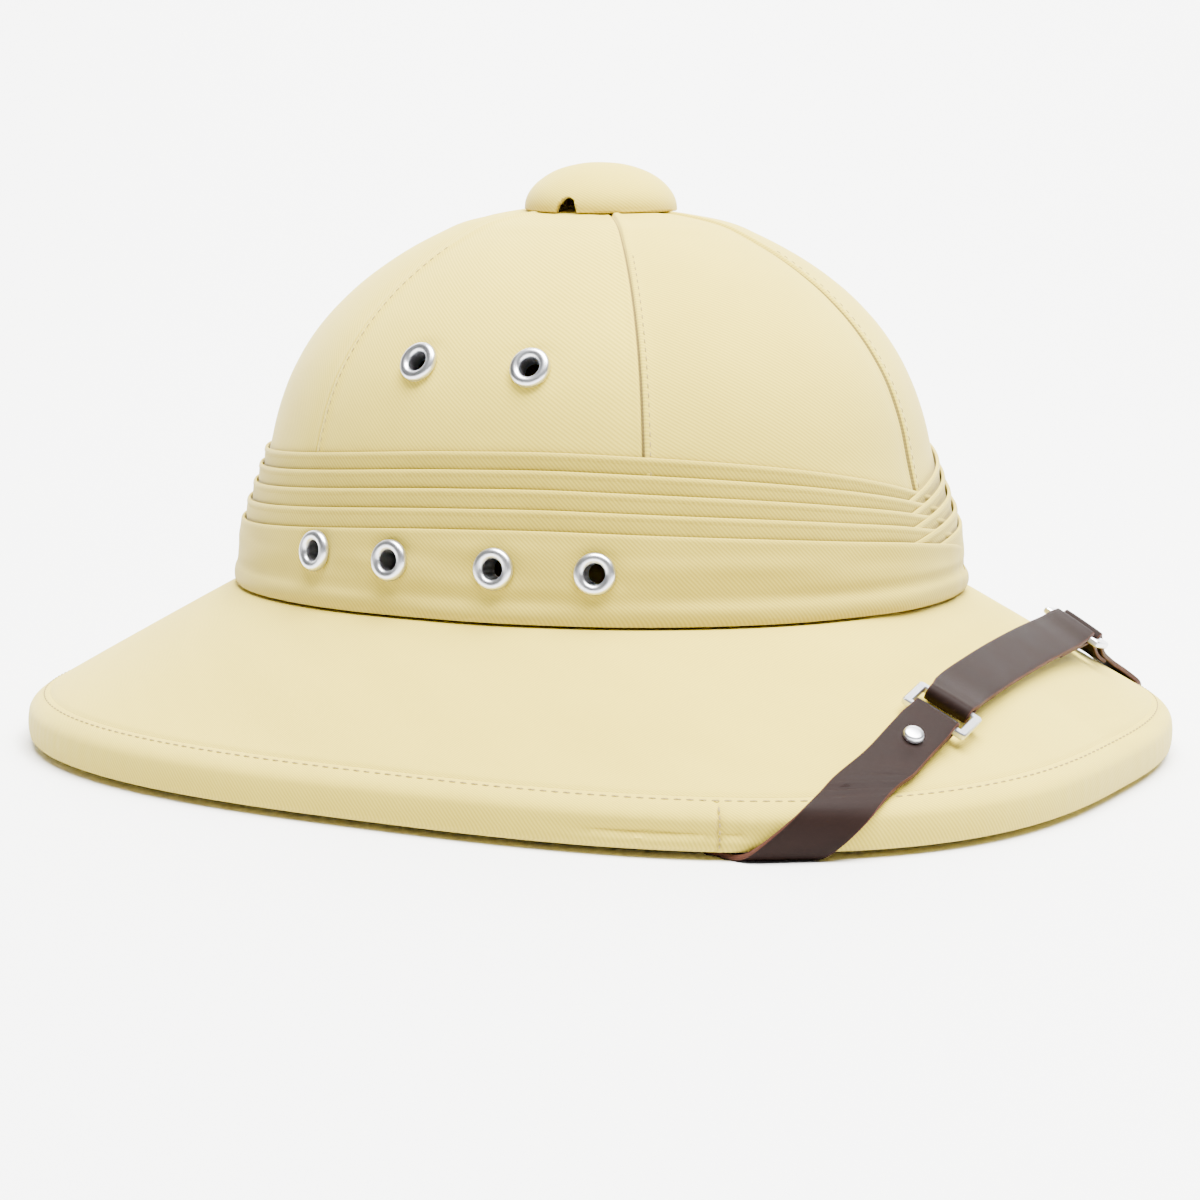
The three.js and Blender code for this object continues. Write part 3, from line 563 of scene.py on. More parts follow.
def makeCrown():
    panelAngle = 360 / crown["panels"]
    nearSeam = np.array([0, .3, .6, .9, 1.25, 1.7, 2.3, 3.1, 4.3]) * panelAngle / 105
    half = np.concatenate([nearSeam, np.linspace(6 * panelAngle / 105, panelAngle / 2, 15)])
    across = np.concatenate([half, panelAngle - half[-2::-1]])
    tilt = np.linspace(0, math.pi / 2, crown["rows"])
    rise = np.sin(tilt)[::-1]
    innerRise = np.sin(np.linspace(0, math.pi / 2, 36))
    grids = []
    for panel in range(crown["panels"]):
        angle = (panel * panelAngle + across)[:, None]
        base = crownSurface(angle, rise[None, :])
        radius = np.hypot(base[..., 0], base[..., 1])
        offset = np.minimum(across, panelAngle - across)
        side = np.where(across < panelAngle / 2, -1.0, 1.0)
        seamDistance = np.radians(offset * side)[:, None] * radius
        outer = crownPoints(angle, rise[None, :], crownRelief(base, seamDistance))
        inner = crownPoints(angle, innerRise[None, :], -shape["crownWall"] + 0 * angle)
        outer[:, -1, 2] += shape["gap"]
        inner[:, 0, 2] += shape["gap"]
        middle = len(across) // 2
        alongPanel = gridLengths(outer, 0)
        coords = np.stack([alongPanel - alongPanel[middle], gridLengths(outer, 1)], -1)
        foot = np.stack([outer[:, -1], inner[:, 0]], 1)
        grids += [(outer[:2], coords[:2], 1), (outer[1:-2], coords[1:-2], 0),
                  (outer[-3:], coords[-3:], 1), (foot, clothCoords(foot), 0),
                  (inner, clothCoords(inner), 0)]
    piece = gridMesh("crown-cloth", grids, [crownCloth, seamCloth])
    topHole = (np.array([0, 0, topZ]), np.array([0, 0, 1.0]), 3.3, 20)
    cutHoles(piece, eyeletHoles + [topHole])
    piece = joinMeshes("crown-cloth", [piece, crownStitches()])
    stand(piece, "crown")


makeCrown()
print("crown made")


brim = {
    "columns": 300,
    "wall": 3.0,
    "coreWidth": 5.0,
    "hem": 1.6,
    "hemDip": 0.3,
    "bindingWall": 1.2,
    "turnUnder": 7.5,
    "uneven": 0.35,
    "pucker": 0.12,
    "stitchLength": 2.2,
    "stitchPitch": 3.3,
    "stitchRadius": 0.24,
    "seamAngle": 60.3,
    "crease": 1.5,
}
slopeWidth = shape["rimHalfWidth"] - shape["headHalfWidth"] - shape["shoulderWidth"]


def rimOutline():
    # inset from the rim and height over its underside, from the stitch line down and under
    inset = [1, .78, .56, .38, .24, .12, .04, 0]
    rise = [1, .9, .76, .62, .48, .32, .16, 0]
    shoulder = [(i * shape["shoulderWidth"], shape["rimUpright"] + r * shape["shoulderRise"])
                for i, r in zip(inset, rise)]
    side = [(-0.15, 6.6), (-0.25, 5.0), (-0.2, 3.4), (0.0, 1.9)]
    corner = [(0.2, 1.0), (0.65, 0.35), (1.4, 0.0), (4.0, 0.0), (brim["turnUnder"], 0.0)]
    return np.array(shoulder + side + corner)


def insetOutline(outline, distance):
    along = unit(np.gradient(outline, axis=0))
    return outline + distance * np.stack([-along[:, 1], along[:, 0]], -1)


def makeBrim():
    angle = np.linspace(0, 360, brim["columns"] + 1)[:, None]
    hemShare = 1 - brim["hem"] / slopeWidth
    nearHem = hemShare - np.array([2.2, 1.5, 1.0, 0.6, 0.3, 0.0]) / slopeWidth
    down = np.concatenate([np.linspace(0, nearHem[0], 34)[:-1], nearHem])[None, :]
    top = brimSurface(angle, down)
    swell = brim["uneven"] * softNoise(top, 45.0, 3.0) + 0.05 * softNoise(top, 8.0)
    hemDip = -brim["hemDip"] * bell((down - hemShare) * slopeWidth, 0.7)
    top = top + brimNormals(angle, down) * (swell * np.sin(math.pi * down) + hemDip)[..., None]
    edge = insetOutline(rimOutline(), brim["bindingWall"] + shape["gap"])[:-1]
    edgeRings = [rimPoints(angle, i, rimBottom + h) for i, h in edge]
    core = edge[0]
    step = (brimSurface(angle, 0 * angle + hemShare + 0.006)
            - brimNormals(angle, 0 * angle + hemShare) * (brim["bindingWall"] + shape["gap"]))
    innerEdge = brim["coreWidth"] + brim["bindingWall"]
    under = [
        rimPoints(angle, innerEdge, rimBottom + brim["bindingWall"] + shape["gap"]),
        rimPoints(angle, innerEdge + brim["wall"] / 2, rimBottom + core[1] - brim["wall"]),
    ]
    for share in (0.9, 0.75, 0.5, 0.25, 0.08):
        flat = 0 * angle + share
        under.append(brimSurface(angle, flat) - brimNormals(angle, flat) * brim["wall"])
    seatFoot = headPoints(angle, -shape["crownWall"], seatAt(angle) - brim["wall"])
    seat = headPoints(angle, -shape["crownWall"], seatAt(angle))
    rings = [r.reshape(len(angle), 1, 3) for r in [step, *edgeRings, *under, seatFoot, seat]]
    loop = np.concatenate([top, *rings, top[:, :1]], 1)
    piece = gridMesh("brim-cloth", [(loop, clothCoords(loop), 0)], [brimCloth])
    stand(piece, "brim")


def bindingPoints(angle):
    # turned binding, closed round its wall
    hemShare = 1 - (brim["hem"] - shape["gap"]) / slopeWidth
    outline = rimOutline()
    inner = insetOutline(outline, brim["bindingWall"])[::-1]
    flat = 0 * angle + hemShare
    hem = brimSurface(angle, flat - 0.006) - brimNormals(angle, flat) * 0.36
    hemTop = brimSurface(angle, flat + 0.008) - brimNormals(angle, flat) * 0.05
    hemUnder = brimSurface(angle, flat) - brimNormals(angle, flat) * brim["bindingWall"]
    turned = np.radians((angle - brim["seamAngle"] + 180) % 360 - 180) * 155
    puckers = brim["pucker"] * (0.35 + bell(turned, 18)) * (
        np.sin(turned * 1.1 + 2.3 * np.sin(turned * 0.13)) + 0.6 * np.sin(turned * 0.61))
    seam = -1.1 * bell(turned, 0.5)
    crease = -brim["crease"] * (bell(turned - 20, 20) + 0.5 * bell(turned + 5, 5))
    rings = []
    for index, (inset, height) in enumerate(outline):
        along = height / (shape["rimUpright"] + shape["shoulderRise"])
        loose = (puckers * math.sin(math.pi * min(along * 1.1, 1)) + seam * (height > 0.2)
                 + crease * bell(height - 5.2, 1.1) - 0.4 * crease * bell(height - 2.6, 1.4))
        rings.append(rimPoints(angle, inset - loose * (index < len(outline) - 4), rimBottom + height))
    innerRings = [rimPoints(angle, i, rimBottom + h) for i, h in inner]
    rings = [hem, hemTop, *rings, *innerRings, hemUnder, hem]
    return np.concatenate([r.reshape(len(angle), 1, 3) for r in rings], 1)


def makeBinding():
    angle = np.linspace(0, 360, 3 * brim["columns"] + 1)[:, None]
    loop = bindingPoints(angle)
    binding = gridMesh("binding-cloth", [(loop, clothCoords(loop), 0)], [brimCloth, thread])
    piece = joinMeshes("bound-rim", [binding, makeStitches()])
    stand(piece, "brim_binding")


def makeStitches():
    # one row along the stitch line
    angle = np.linspace(0, 360, 2881)
    share = 1 - 0.3 / 48
    line = brimSurface(angle, share + 0 * angle)
    length = runLength(line)
    count = int(length[-1] // brim["stitchPitch"])
    starts = np.arange(count) * length[-1] / count
    pair = np.stack([starts, starts + brim["stitchLength"]], -1)
    at = np.interp(pair, length, angle)
    points = brimSurface(at, share + 0 * at)
    normals = brimNormals(at, share + 0 * at)
    seamAngle = brim["seamAngle"]
    heights = np.arange(1.2, 12.2, 1.9)
    outline = rimOutline()
    inset = np.interp(heights, outline[::-1, 1], outline[::-1, 0])
    nextInset = np.interp(heights + 1.1, outline[::-1, 1], outline[::-1, 0])
    lower = rimPoints(seamAngle, inset, rimBottom + heights)
    upper = rimPoints(seamAngle, nextInset, rimBottom + heights + 1.1)
    outwards = unit(rimPoints(seamAngle, 0, 0) - rimPoints(seamAngle, 5, 0))
    return stitchMesh(
        np.concatenate([points, np.stack([lower, upper], 1)]),
        np.concatenate([normals[:, 0], np.repeat(outwards[None], len(heights), 0)]),
        brim["stitchRadius"])


makeBrim()
makeBinding()
print("brim made")


band = {
    "height": 48.5,
    "frontDrop": 14.5,
    "backDrop": 8.0,
    "backStart": 70,
    "backEnd": 150,
    "dropSharpness": 2.6,
    "wall": 1.0,
    "step": 0.5,
    "layer": 0.9,
    "foldRadius": 0.45,
    "overlap": 4.0,
    "tuck": 0.8,
    "crossStep": 0.45,
    "overrun": 13.0,
    "columns": 420,
    "footGap": 0.7,
    "soft": 0.6,
}
# share: upper edge of the layer; nearOrder, farOrder: place in the stack where the ends cross
pleats = [
    {"share": 1.0, "nearOrder": 0, "farOrder": 1},
    {"share": 0.895, "nearOrder": 2, "farOrder": 3},
    {"share": 0.785, "nearOrder": 4, "farOrder": 5},
    {"share": 0.67, "nearOrder": 6, "farOrder": 7},
    {"share": 0.55, "nearOrder": 9, "farOrder": 8},
]


def bandLevel(fromFront, share):
    nearFront = np.maximum(1 - fromFront / 90, 0) ** band["dropSharpness"]
    backDrop = band["backDrop"] * min(2 * share, 1) * smoothStep(
        fromFront, band["backStart"], band["backEnd"])
    return band["height"] * share - band["frontDrop"] * share * nearFront - backDrop


def layerPoints(index):
    # turned: angle from one end of the layer to the other, past the front at both ends
    layer = pleats[index]
    last = index == len(pleats) - 1
    over = band["overrun"]
    turned = np.concatenate([
        np.linspace(-over, 40, 150)[:-1], np.linspace(40, 320, band["columns"])[:-1],
        np.linspace(320, 360 + over, 150)])[:, None]
    far = turned > 180
    fromFront = np.where(far, 360 - turned, turned)
    top = bandLevel(fromFront, layer["share"])
    if last:
        bottom = seatAt(turned) - seatZ + band["footGap"] + 0 * top
    else:
        bottom = bandLevel(fromFront, pleats[index + 1]["share"]) - band["overlap"]
    crossing = 1 - smoothStep(fromFront, 9, 26)
    order = np.where(far, layer["farOrder"], layer["nearOrder"])
    face = band["wall"] + shape["gap"] + band["step"] * index
    face = face + crossing * (band["crossStep"] * order - band["step"] * index)
    face = face - 0.9 * smoothStep(-fromFront, 3, over)
    fold = band["foldRadius"]
    thick = band["layer"]
    # drop below the upper edge in mm and place through the layer, outer face at 0
    shoulder = [(0.25, -0.02), (0.7, 0.12), (1.4, 0.1)]
    arc = [(fold * (1 - math.cos(a)), -fold * (1 - math.sin(a)))
           for a in np.radians([90, 60, 30, 0, -30, -60, -90])]
    span = top - bottom
    share = np.linspace(0, 1, 26)[1:][None, :]
    faceDrop = 1.6 + share * (span - 1.6)
    tuckAt = faceDrop / np.maximum(span - (0 if last else band["overlap"]), 1)
    inwards = -band["tuck"] * np.clip(tuckAt, 0, 1.2) ** 1.5 * (0 if last else 1)
    if last:
        roll = np.clip((faceDrop - (span - 6.0)) / 6.0, 0, 1)
        slack = 0.35 + bell(fromFront, 48)
        inwards = inwards - 0.5 * slack * bell(faceDrop - (span - 7.5), 1.6) + 0.7 * np.sin(
            math.pi * roll) ** 0.8 - 0.6 * np.clip(roll - 0.8, 0, 1) ** 1.2 * 4
    columns = len(turned)
    drops = np.concatenate([np.repeat([[d for d, _ in reversed(arc)]], columns, 0),
                            np.repeat([[d for d, _ in shoulder]], columns, 0), faceDrop], 1)
    depth = np.concatenate([np.repeat([[p for _, p in reversed(arc)]], columns, 0),
                            np.repeat([[p for _, p in shoulder]], columns, 0),
                            inwards + 0 * faceDrop], 1)
    height = top - drops
    rise = (seatZ + height - seatAt(turned)) / (topZ - seatAt(turned))
    base = crownSurface(turned, rise)
    loose = band["soft"] * softNoise(base * [0.35, 0.35, 1.9], 11.0, index * 5.0)
    loose = loose * smoothStep(drops, 1.0, 6.0) * (1.0 if last else 0.35)
    if last:
        loose = loose + eyeletDimple(crownPoints(turned, rise, face + depth))
    outer = crownPoints(turned, rise, face + depth + loose)
    inner = crownPoints(turned, rise[:, [-1, 6]], face + 0 * rise[:, [-1, 6]] - thick)
    return np.concatenate([outer, inner[:, :1], outer[:, :1]], 1)


def makeBand():
    layers = []
    for index in range(len(pleats)):
        loop = layerPoints(index)
        ends = []
        for end in (0, -1):
            edge = loop[end]
            centre = edge.mean(0)
            ends.append(np.stack([edge, np.repeat(centre[None], len(edge), 0)]))
        grids = [(loop, clothCoords(loop), 0)] + [(e, clothCoords(e), 0) for e in ends]
        layers.append(gridMesh(f"band-layer-{index + 1}", grids, [bandCloth]))
    cutHoles(layers[-1], lowerHoles)
    piece = joinMeshes("pleated-band", layers)
    stand(piece, "band")


makeBand()
print("band made")


def makeEyelets():
    radius, hole = eyelet["radius"], eyelet["holeRadius"]
    middle = (radius + hole) / 2
    half = (radius - hole) / 2
    rolled = [(middle + half * math.cos(a), 0.35 + eyelet["rimHeight"] * max(math.sin(a), 0) ** 0.8)
              for a in np.linspace(0, math.pi, 13)]
    for place in eyelets:
        tail = -(shape["crownWall"] + place["standOff"] + eyelet["tail"])
        profile = [(hole, tail), (hole + eyelet["tubeWall"], tail),
                   (hole + eyelet["tubeWall"], -0.1), (radius - 0.4, -0.1), (radius, 0.1),
                   *rolled, (hole, -0.6), (hole, tail)]
        piece = latheMesh(place["name"] + "-nickel", profile, nickel, sides=40, sharpAngle=60)
        placeAlong(piece, place["centre"], place["normal"])
        stand(piece, place["name"])


makeEyelets()
print("eyelets made")


button = {
    "radius": 23.0,
    "height": 13.3,
    "wall": 2.0,
    "notchWidth": 7.2,
    "notchHeight": 5.2,
    "tuck": 1.2,
    "uneven": 0.18,
}


def crownHeightAt(angle, radius):
    turn = np.radians(angle)
    wanted = radius * np.hypot(np.sin(turn) / shape["headHalfWidth"],
                               np.cos(turn) / shape["headHalfLength"])
    rise = np.linspace(0.6, 1, 4001)
    spread = spreadAt(rise)
    at = np.interp(wanted, spread[::-1], rise[::-1])
    return seatAt(angle) * (1 - at) + topZ * at


def makeButton():
    angle = np.linspace(0, 360, 145)[:, None]
    tilt = np.linspace(0, math.pi / 2, 40)[None, :]
    spread = np.sin(tilt) ** 0.96
    rise = np.cos(tilt) ** 1.05
    foot = crownHeightAt(angle, button["radius"]) + 0.35
    top = topZ + button["height"]
    turn = np.radians(angle)

    def ring(radius, height):
        return np.stack(np.broadcast_arrays(
            -radius * np.sin(turn), -radius * np.cos(turn), height), -1)

    outer = ring(button["radius"] * spread, foot + 0.9 + (top - foot - 0.9) * rise)
    outer = outer + button["uneven"] * softNoise(outer, 9.0)[..., None] * [0.3, 0.3, 1]
    edge = [ring(button["radius"] + 0.05 + 0 * turn, foot + 0.45),
            ring(button["radius"] - 0.35 + 0 * turn, foot + 0.05),
            ring(button["radius"] - button["tuck"] + 0 * turn, foot - 0.05)]
    inner = ring((button["radius"] - button["wall"]) * spread[:, ::-1],
                 foot + (top - button["wall"] - foot) * rise[:, ::-1])
    loop = np.concatenate([outer, *edge, inner], 1)
    piece = gridMesh("button-cloth", [(loop, clothCoords(loop), 0)], [crownCloth])
    cutters = []
    for side in (90, 270):
        width, height = button["notchWidth"] / 2, button["notchHeight"]
        arch = [(-width - 0.5, -3), (width + 0.2, -3), (width, 1.0), (width * 0.72, height * 0.8),
                (width * 0.2, height), (-width * 0.35, height * 0.86), (-width * 0.8, height * 0.45)]
        turnSide = math.radians(side)
        outwards = np.array([-math.sin(turnSide), -math.cos(turnSide), 0])
        across = np.array([math.cos(turnSide), -math.sin(turnSide), 0])
        base = np.array([0, 0, float(crownHeightAt(side, button["radius"]))])
        ringNear, ringFar = ([base + outwards * reach + across * a + [0, 0, h] for a, h in arch]
                             for reach in (12.0, 30.0))
        corners = np.array([ringNear, ringFar])
        corners = np.concatenate([corners, corners[:, :1]], 1)
        caps = [np.stack([c, np.repeat(c[:-1].mean(0)[None], len(c), 0)]) for c in corners]
        cutters.append(gridMesh("notch", [(g, clothCoords(g), 0) for g in [corners, *caps]],
                                [crownCloth]))
    carve(piece, cutters)
    stand(piece, "button")


stem = {"radius": 3.0, "nutRadius": 9.0, "nutHeight": 3.0, "ease": 0.4}


def makeStem():
    radius, nut, ease = stem["radius"], stem["nutRadius"], stem["ease"]
    foot = float(crownHeightAt(90, nut)) - shape["crownWall"] - 2 * shape["gap"]
    low = foot - stem["nutHeight"]
    reach = topZ + button["height"] - button["wall"] - shape["gap"]
    profile = [(0, low), (nut - 1.5 * ease, low), (nut, low + ease), (nut, foot - ease),
               (nut - ease, foot), (radius, foot), (radius, reach - ease), (radius - ease, reach),
               (0, reach)]
    piece = latheMesh("stem-nickel", profile, nickel)
    stand(piece, "button_stem")


makeButton()
makeStem()
print("button made")


strap = {
    "slideBar": 2.0,
    "slideSide": 2.5,
    "slideLength": 13.0,
    "slideEase": 0.4,
    "skived": 1.2,
    "skiveRun": 6.0,
    "tailNarrowing": 0.07,
    "tail": 24.0,
    "anchorAngle": 88.0,
    "anchorHeight": 10.0,
    "rimEntry": 44.6,
    "rimExit": 55.4,
    "studFromBar": 13.5,
    "edgeRound": 0.32,
    "crown": 0.12,
    "wrinkle": 0.14,
    "stationMm": 0.9,
}
# angle round the head, share of the brim's slope, lift in strap thicknesses, turn to the rim's line
rightRoute = [(32, .744, 2, .15), (37, .843, 1.4, .5), (42, .938, 1, .9)]
leftRoute = [(-29, .6, 2.6, .1), (-35, .715, 1.3, .5), (-40.5, .865, 1, .9)]
middleRoute = [(17, .52, 2.7, 0), (11, .47, 2.3, 0), (4, .432, 2.1, 0), (-3, .415, 2.4, 0),
               (-10, .427, 3.1, 0), (-15, .45, 3.9, 0)]
rightSeat = (24.2, .62, 2.5, 0)
leftSeat = (-22.6, .51, 4.5, 0)


def rimLine(angle):
    return unit(rimPoints(angle + 1, 0, 0) - rimPoints(angle - 1, 0, 0))


def strapStation(place):
    angle, down, lift, skew = place
    normal = brimNormals(angle, down)
    point = brimSurface(angle, down) + normal * lift * shape["strapThickness"]
    return point, normal, rimLine(angle) * skew


def curvePoints(values, at):
    # centripetal curve through values, at shares of its run; spacing from values' own distances
    values = np.asarray(values, float)
    padded = np.concatenate([[2 * values[0] - values[1]], values, [2 * values[-1] - values[-2]]])
    found = []
    for share in np.atleast_1d(at):
        place = share * (len(values) - 1)
        i = min(int(place), len(values) - 2)
        t = place - i
        p0, p1, p2, p3 = padded[i:i + 4]
        gaps = [max(np.linalg.norm(b - a) ** 0.5, 1e-4) for a, b in ((p0, p1), (p1, p2), (p2, p3))]
        gaps[1] = gaps[1] if gaps[1] > 1e-4 else 1.0
        gaps[0] = gaps[0] if gaps[0] > 1e-4 else gaps[1]
        gaps[2] = gaps[2] if gaps[2] > 1e-4 else gaps[1]
        m1 = ((p1 - p0) / gaps[0] - (p2 - p0) / (gaps[0] + gaps[1]) + (p2 - p1) / gaps[1]) * gaps[1]
        m2 = ((p2 - p1) / gaps[1] - (p3 - p1) / (gaps[1] + gaps[2]) + (p3 - p2) / gaps[2]) * gaps[1]
        found.append((2 * t**3 - 3 * t**2 + 1) * p1 + (t**3 - 2 * t**2 + t) * m1
                     + (3 * t**2 - 2 * t**3) * p2 + (t**3 - t**2) * m2)
    return np.array(found)


def smoothRun(stations, reach=1.0):
    # evenly spaced stations along a smooth curve; reach is a share of its length
    columns = [[s[i] for s in stations] for i in range(3)]
    fine = np.linspace(0, 1, 400)
    trace = curvePoints(columns[0], fine)
    length = runLength(trace)
    count = max(int(reach * length[-1] / strap["stationMm"]), 2)
    at = np.interp(np.linspace(0, reach * length[-1], count + 1), length, fine)
    points, normals, skews = (curvePoints(column, at) for column in columns)
    return list(zip(points, unit(normals), skews)), length[-1]


def straightRun(start, end):
    count = max(int(np.linalg.norm(end[0] - start[0]) / (2 * strap["stationMm"])), 1)
    run = []
    for share in np.linspace(0, 1, count + 1)[1:]:
        point, normal, skew = (a * (1 - share) + b * share for a, b in zip(start, end))
        run.append((point, unit(normal), skew))
    return run


def slideFrame(seat, before, after):
    point, normal, _ = strapStation(seat)
    along = strapStation(after)[0] - strapStation(before)[0]
    across = unit(np.cross(along, normal))
    return {"middle": point, "along": np.cross(normal, across), "across": across, "normal": normal}


slides = {
    "right": slideFrame(rightSeat, rightRoute[0], middleRoute[0]),
    "left": slideFrame(leftSeat, middleRoute[-1], leftRoute[0]),
}
barOffset = (strap["slideLength"] - strap["slideBar"]) / 2
foldRadius = (math.hypot(strap["slideBar"] / 2, strap["slideBar"] / 2 - strap["slideEase"])
              + shape["gap"] / 2 + strap["skived"] / 2)
# flat leather stands off the hollow inside of the crown
anchorDepth = (shape["crownWall"] + shape["gap"] + shape["strapThickness"] / 2
               + shape["strapWidth"] ** 2 / (7 * shape["headHalfWidth"]))


def foldStations(slide, towards):
    bar = slide["middle"] - slide["along"] * towards * barOffset
    run = []
    for turn in np.linspace(0, math.pi, 19):
        normal = slide["normal"] * math.cos(turn) + slide["along"] * towards * math.sin(turn)
        run.append((bar + normal * foldRadius, normal, np.zeros(3)))
    return run


def tailStations(lastOfFold, route):
    lowest = 0.5 + shape["gap"] / shape["strapThickness"]
    under = [lastOfFold]
    for angle, down, lift, skew in route:
        point, normal, turned = strapStation((angle, down, max(lift - 1.3, lowest), skew))
        under.append((point, -normal, turned))
    _, length = smoothRun(under)
    return smoothRun(under, min(strap["tail"] / length, 1))[0][1:]


def anchorStations(sign):
    # round the rim, under it and up to the rivet inside the crown
    reach = 2 * shape["gap"] + shape["strapThickness"] / 2
    outline = insetOutline(np.concatenate([rimOutline()[:-2], [[3.75, 0]]]), -reach)
    along = unit(np.gradient(outline, axis=0))
    run = []
    length = runLength(outline)
    for index, ((inset, height), share) in enumerate(zip(outline, length / length[-1])):
        angle = sign * (strap["rimEntry"] * (1 - share) + strap["rimExit"] * share)
        outwards = unit(rimPoints(angle, 0, 0) - rimPoints(angle, 1, 0))
        normal = outwards * -along[index, 1] + np.array([0, 0, -along[index, 0]])
        run.append((rimPoints(angle, inset, rimBottom + height), unit(normal), rimLine(angle)))
    run = smoothRun(run)[0]
    down = np.array([0, 0, -1.0])
    for past, inset, skew in ((1.5, 1, .5), (3.5, 1.6, 0)):
        angle = sign * (strap["rimExit"] + past)
        point = rimPoints(angle, inset * brim["turnUnder"], shape["strapThickness"] / 2)
        run.append((point, down, rimLine(angle) * skew))
    angle = sign * strap["anchorAngle"]
    inside = []
    for height in (-12, 0, strap["anchorHeight"], strap["anchorHeight"] + 5.5):
        rise = riseAt(angle, max(height, 0))
        point = crownPoints(angle, rise, -anchorDepth)
        point[2] = seatAt(angle) + height
        normal = -surfaceNormals(crownSurface, angle, max(rise, 0.01), 0.01)
        inside.append((point, normal, np.zeros(3)))
    return run + straightRun(run[-1], inside[0]) + smoothRun(inside)[0][1:]


def ribbonFrames(stations):
    points = np.array([s[0] for s in stations])
    normals = np.array([s[1] for s in stations])
    skews = np.array([s[2] for s in stations])
    before = points[np.maximum(np.arange(len(points)) - 1, 0)]
    after = points[np.minimum(np.arange(len(points)) + 1, len(points) - 1)]
    along = unit(after - before)
    square = unit(np.cross(along, normals))
    out = np.cross(square, along)
    turned = skews * np.where((skews * square).sum(-1) < 0, -1, 1)[:, None]
    across = square * (1 - np.linalg.norm(turned, axis=-1, keepdims=True)) + turned
    across = across - out * (across * out).sum(-1, keepdims=True)
    half = across * (shape["strapWidth"] / 2 / (across * square).sum(-1))[:, None]
    # leather bends gently where it runs aslant
    slanted = np.linalg.norm(skews, axis=-1, keepdims=True) > 0.02
    width = min(8, (len(points) - 1) // 4)
    weights = bell(np.arange(-width, width + 1), 3.5)
    smoothed = []
    for values in (points, out, half):
        wide = np.pad(values, ((width, width), (0, 0)), mode="edge")
        soft = sum(w * wide[i:i + len(values)] for i, w in enumerate(weights)) / weights.sum()
        smoothed.append(np.where(slanted, soft, values))
    points, out, half = smoothed
    return points, unit(out), half


def ribbonMesh(name, stations, folded, wrinkleAt=None):
    # folded: the strap is pared thin for this length at each end that turns back
    points, out, half = ribbonFrames(stations)
    length = runLength(points)
    fromEnd = length if wrinkleAt is not None else np.minimum(length, length[-1] - length)
    full = smoothStep(fromEnd, folded, folded + strap["skiveRun"])
    half = half * (1 - strap["tailNarrowing"] * (1 - full))[:, None]
    paring = (1 - full) * (1 - strap["skived"] / shape["strapThickness"])
    thick = shape["strapThickness"] / 2
    r = strap["edgeRound"]
    sideways = 1 - r / (shape["strapWidth"] / 2)
    flat = np.linspace(-sideways, sideways, 13)
    corner = [(sideways + (1 - sideways) * math.sin(a), thick - r + r * math.cos(a))
              for a in np.radians([0, 30, 60, 90])]
    rightEdge = corner + [(s, -f) for s, f in reversed(corner)]
    leftEdge = [(-s, -f) for s, f in rightEdge]
    crowned = thick + strap["crown"] * (1 - (flat / sideways) ** 2)
    topFace = list(zip(flat, crowned))
    underFace = [(s, -thick) for s in flat[::-1]]
    wave = np.zeros(len(points))
    if wrinkleAt is not None:
        away = length - wrinkleAt
        wave = strap["wrinkle"] * bell(away, 9) * (
            np.sin(away * 2.3 + 1.2 * np.sin(away * 0.7)) + 0.5 * np.sin(away * 4.1))
    grids = []
    for section, slot, onTop in ((topFace, 0, 1), (rightEdge, 1, 0), (underFace, 0, 0),
                                 (leftEdge, 1, 0)):
        side = np.array([s for s, _ in section])[None, :, None]
        depth = np.array([f for _, f in section])[None, :, None]
        fade = onTop * (1 - np.abs(side) ** 4)
        uneven = 1 - 0.5 * np.sin(3 * side + length[:, None, None] * 0.4)
        pared = depth * (1 - paring[:, None, None])
        grid = (points[:, None] + half[:, None] * side
                + out[:, None] * (pared + wave[:, None, None] * fade * uneven))
        grid[..., 2] = np.maximum(grid[..., 2], 0)
        across = side[..., 0] * shape["strapWidth"] / 2000 + depth[..., 0] / 1000
        coords = np.stack(np.broadcast_arrays(across, length[:, None] / 1000), -1)
        grids.append((grid, coords, slot))
    sections = [grid for grid, _, _ in grids]
    for end in (0, -1):
        rim = np.concatenate([section[end] for section in sections])
        cap = np.stack([rim, np.repeat(points[end][None], len(rim), 0)])
        grids.append((cap, clothCoords(cap), 1))
    return gridMesh(name, grids, [leather, rawEdge], sharpAngle=65)


def makeEndStrap(side, slide, route, sign):
    fold = foldStations(slide, sign)
    anchor = anchorStations(sign)
    over = [fold[0], *[strapStation(place) for place in route], anchor[0]]
    upper, upperLength = smoothRun(over)
    tail = tailStations(fold[-1], route)
    stations = tail[::-1] + fold[::-1] + upper[1:] + anchor[1:]
    tailLength = strap["tail"] + math.pi * foldRadius
    piece = ribbonMesh(f"{side}-strap-leather", stations, tailLength, tailLength + upperLength - 6)
    stand(piece, f"strap_{side}")
    seat, _ = smoothRun(over, 2 * strap["studFromBar"] / upperLength)
    points, out, _ = ribbonFrames(seat)
    middle = len(points) // 2
    return points[middle], out[middle]


def makeMiddleStrap():
    rightFold, leftFold = foldStations(slides["right"], -1), foldStations(slides["left"], 1)
    upper, _ = smoothRun([rightFold[0], *[strapStation(p) for p in middleRoute], leftFold[0]])
    rightTail = tailStations(rightFold[-1], middleRoute)
    leftTail = tailStations(leftFold[-1], middleRoute[::-1])
    stations = rightTail[::-1] + rightFold[::-1] + upper[1:-1] + leftFold + leftTail
    piece = ribbonMesh("middle-strap-leather", stations, strap["tail"] + math.pi * foldRadius)
    stand(piece, "strap_middle")


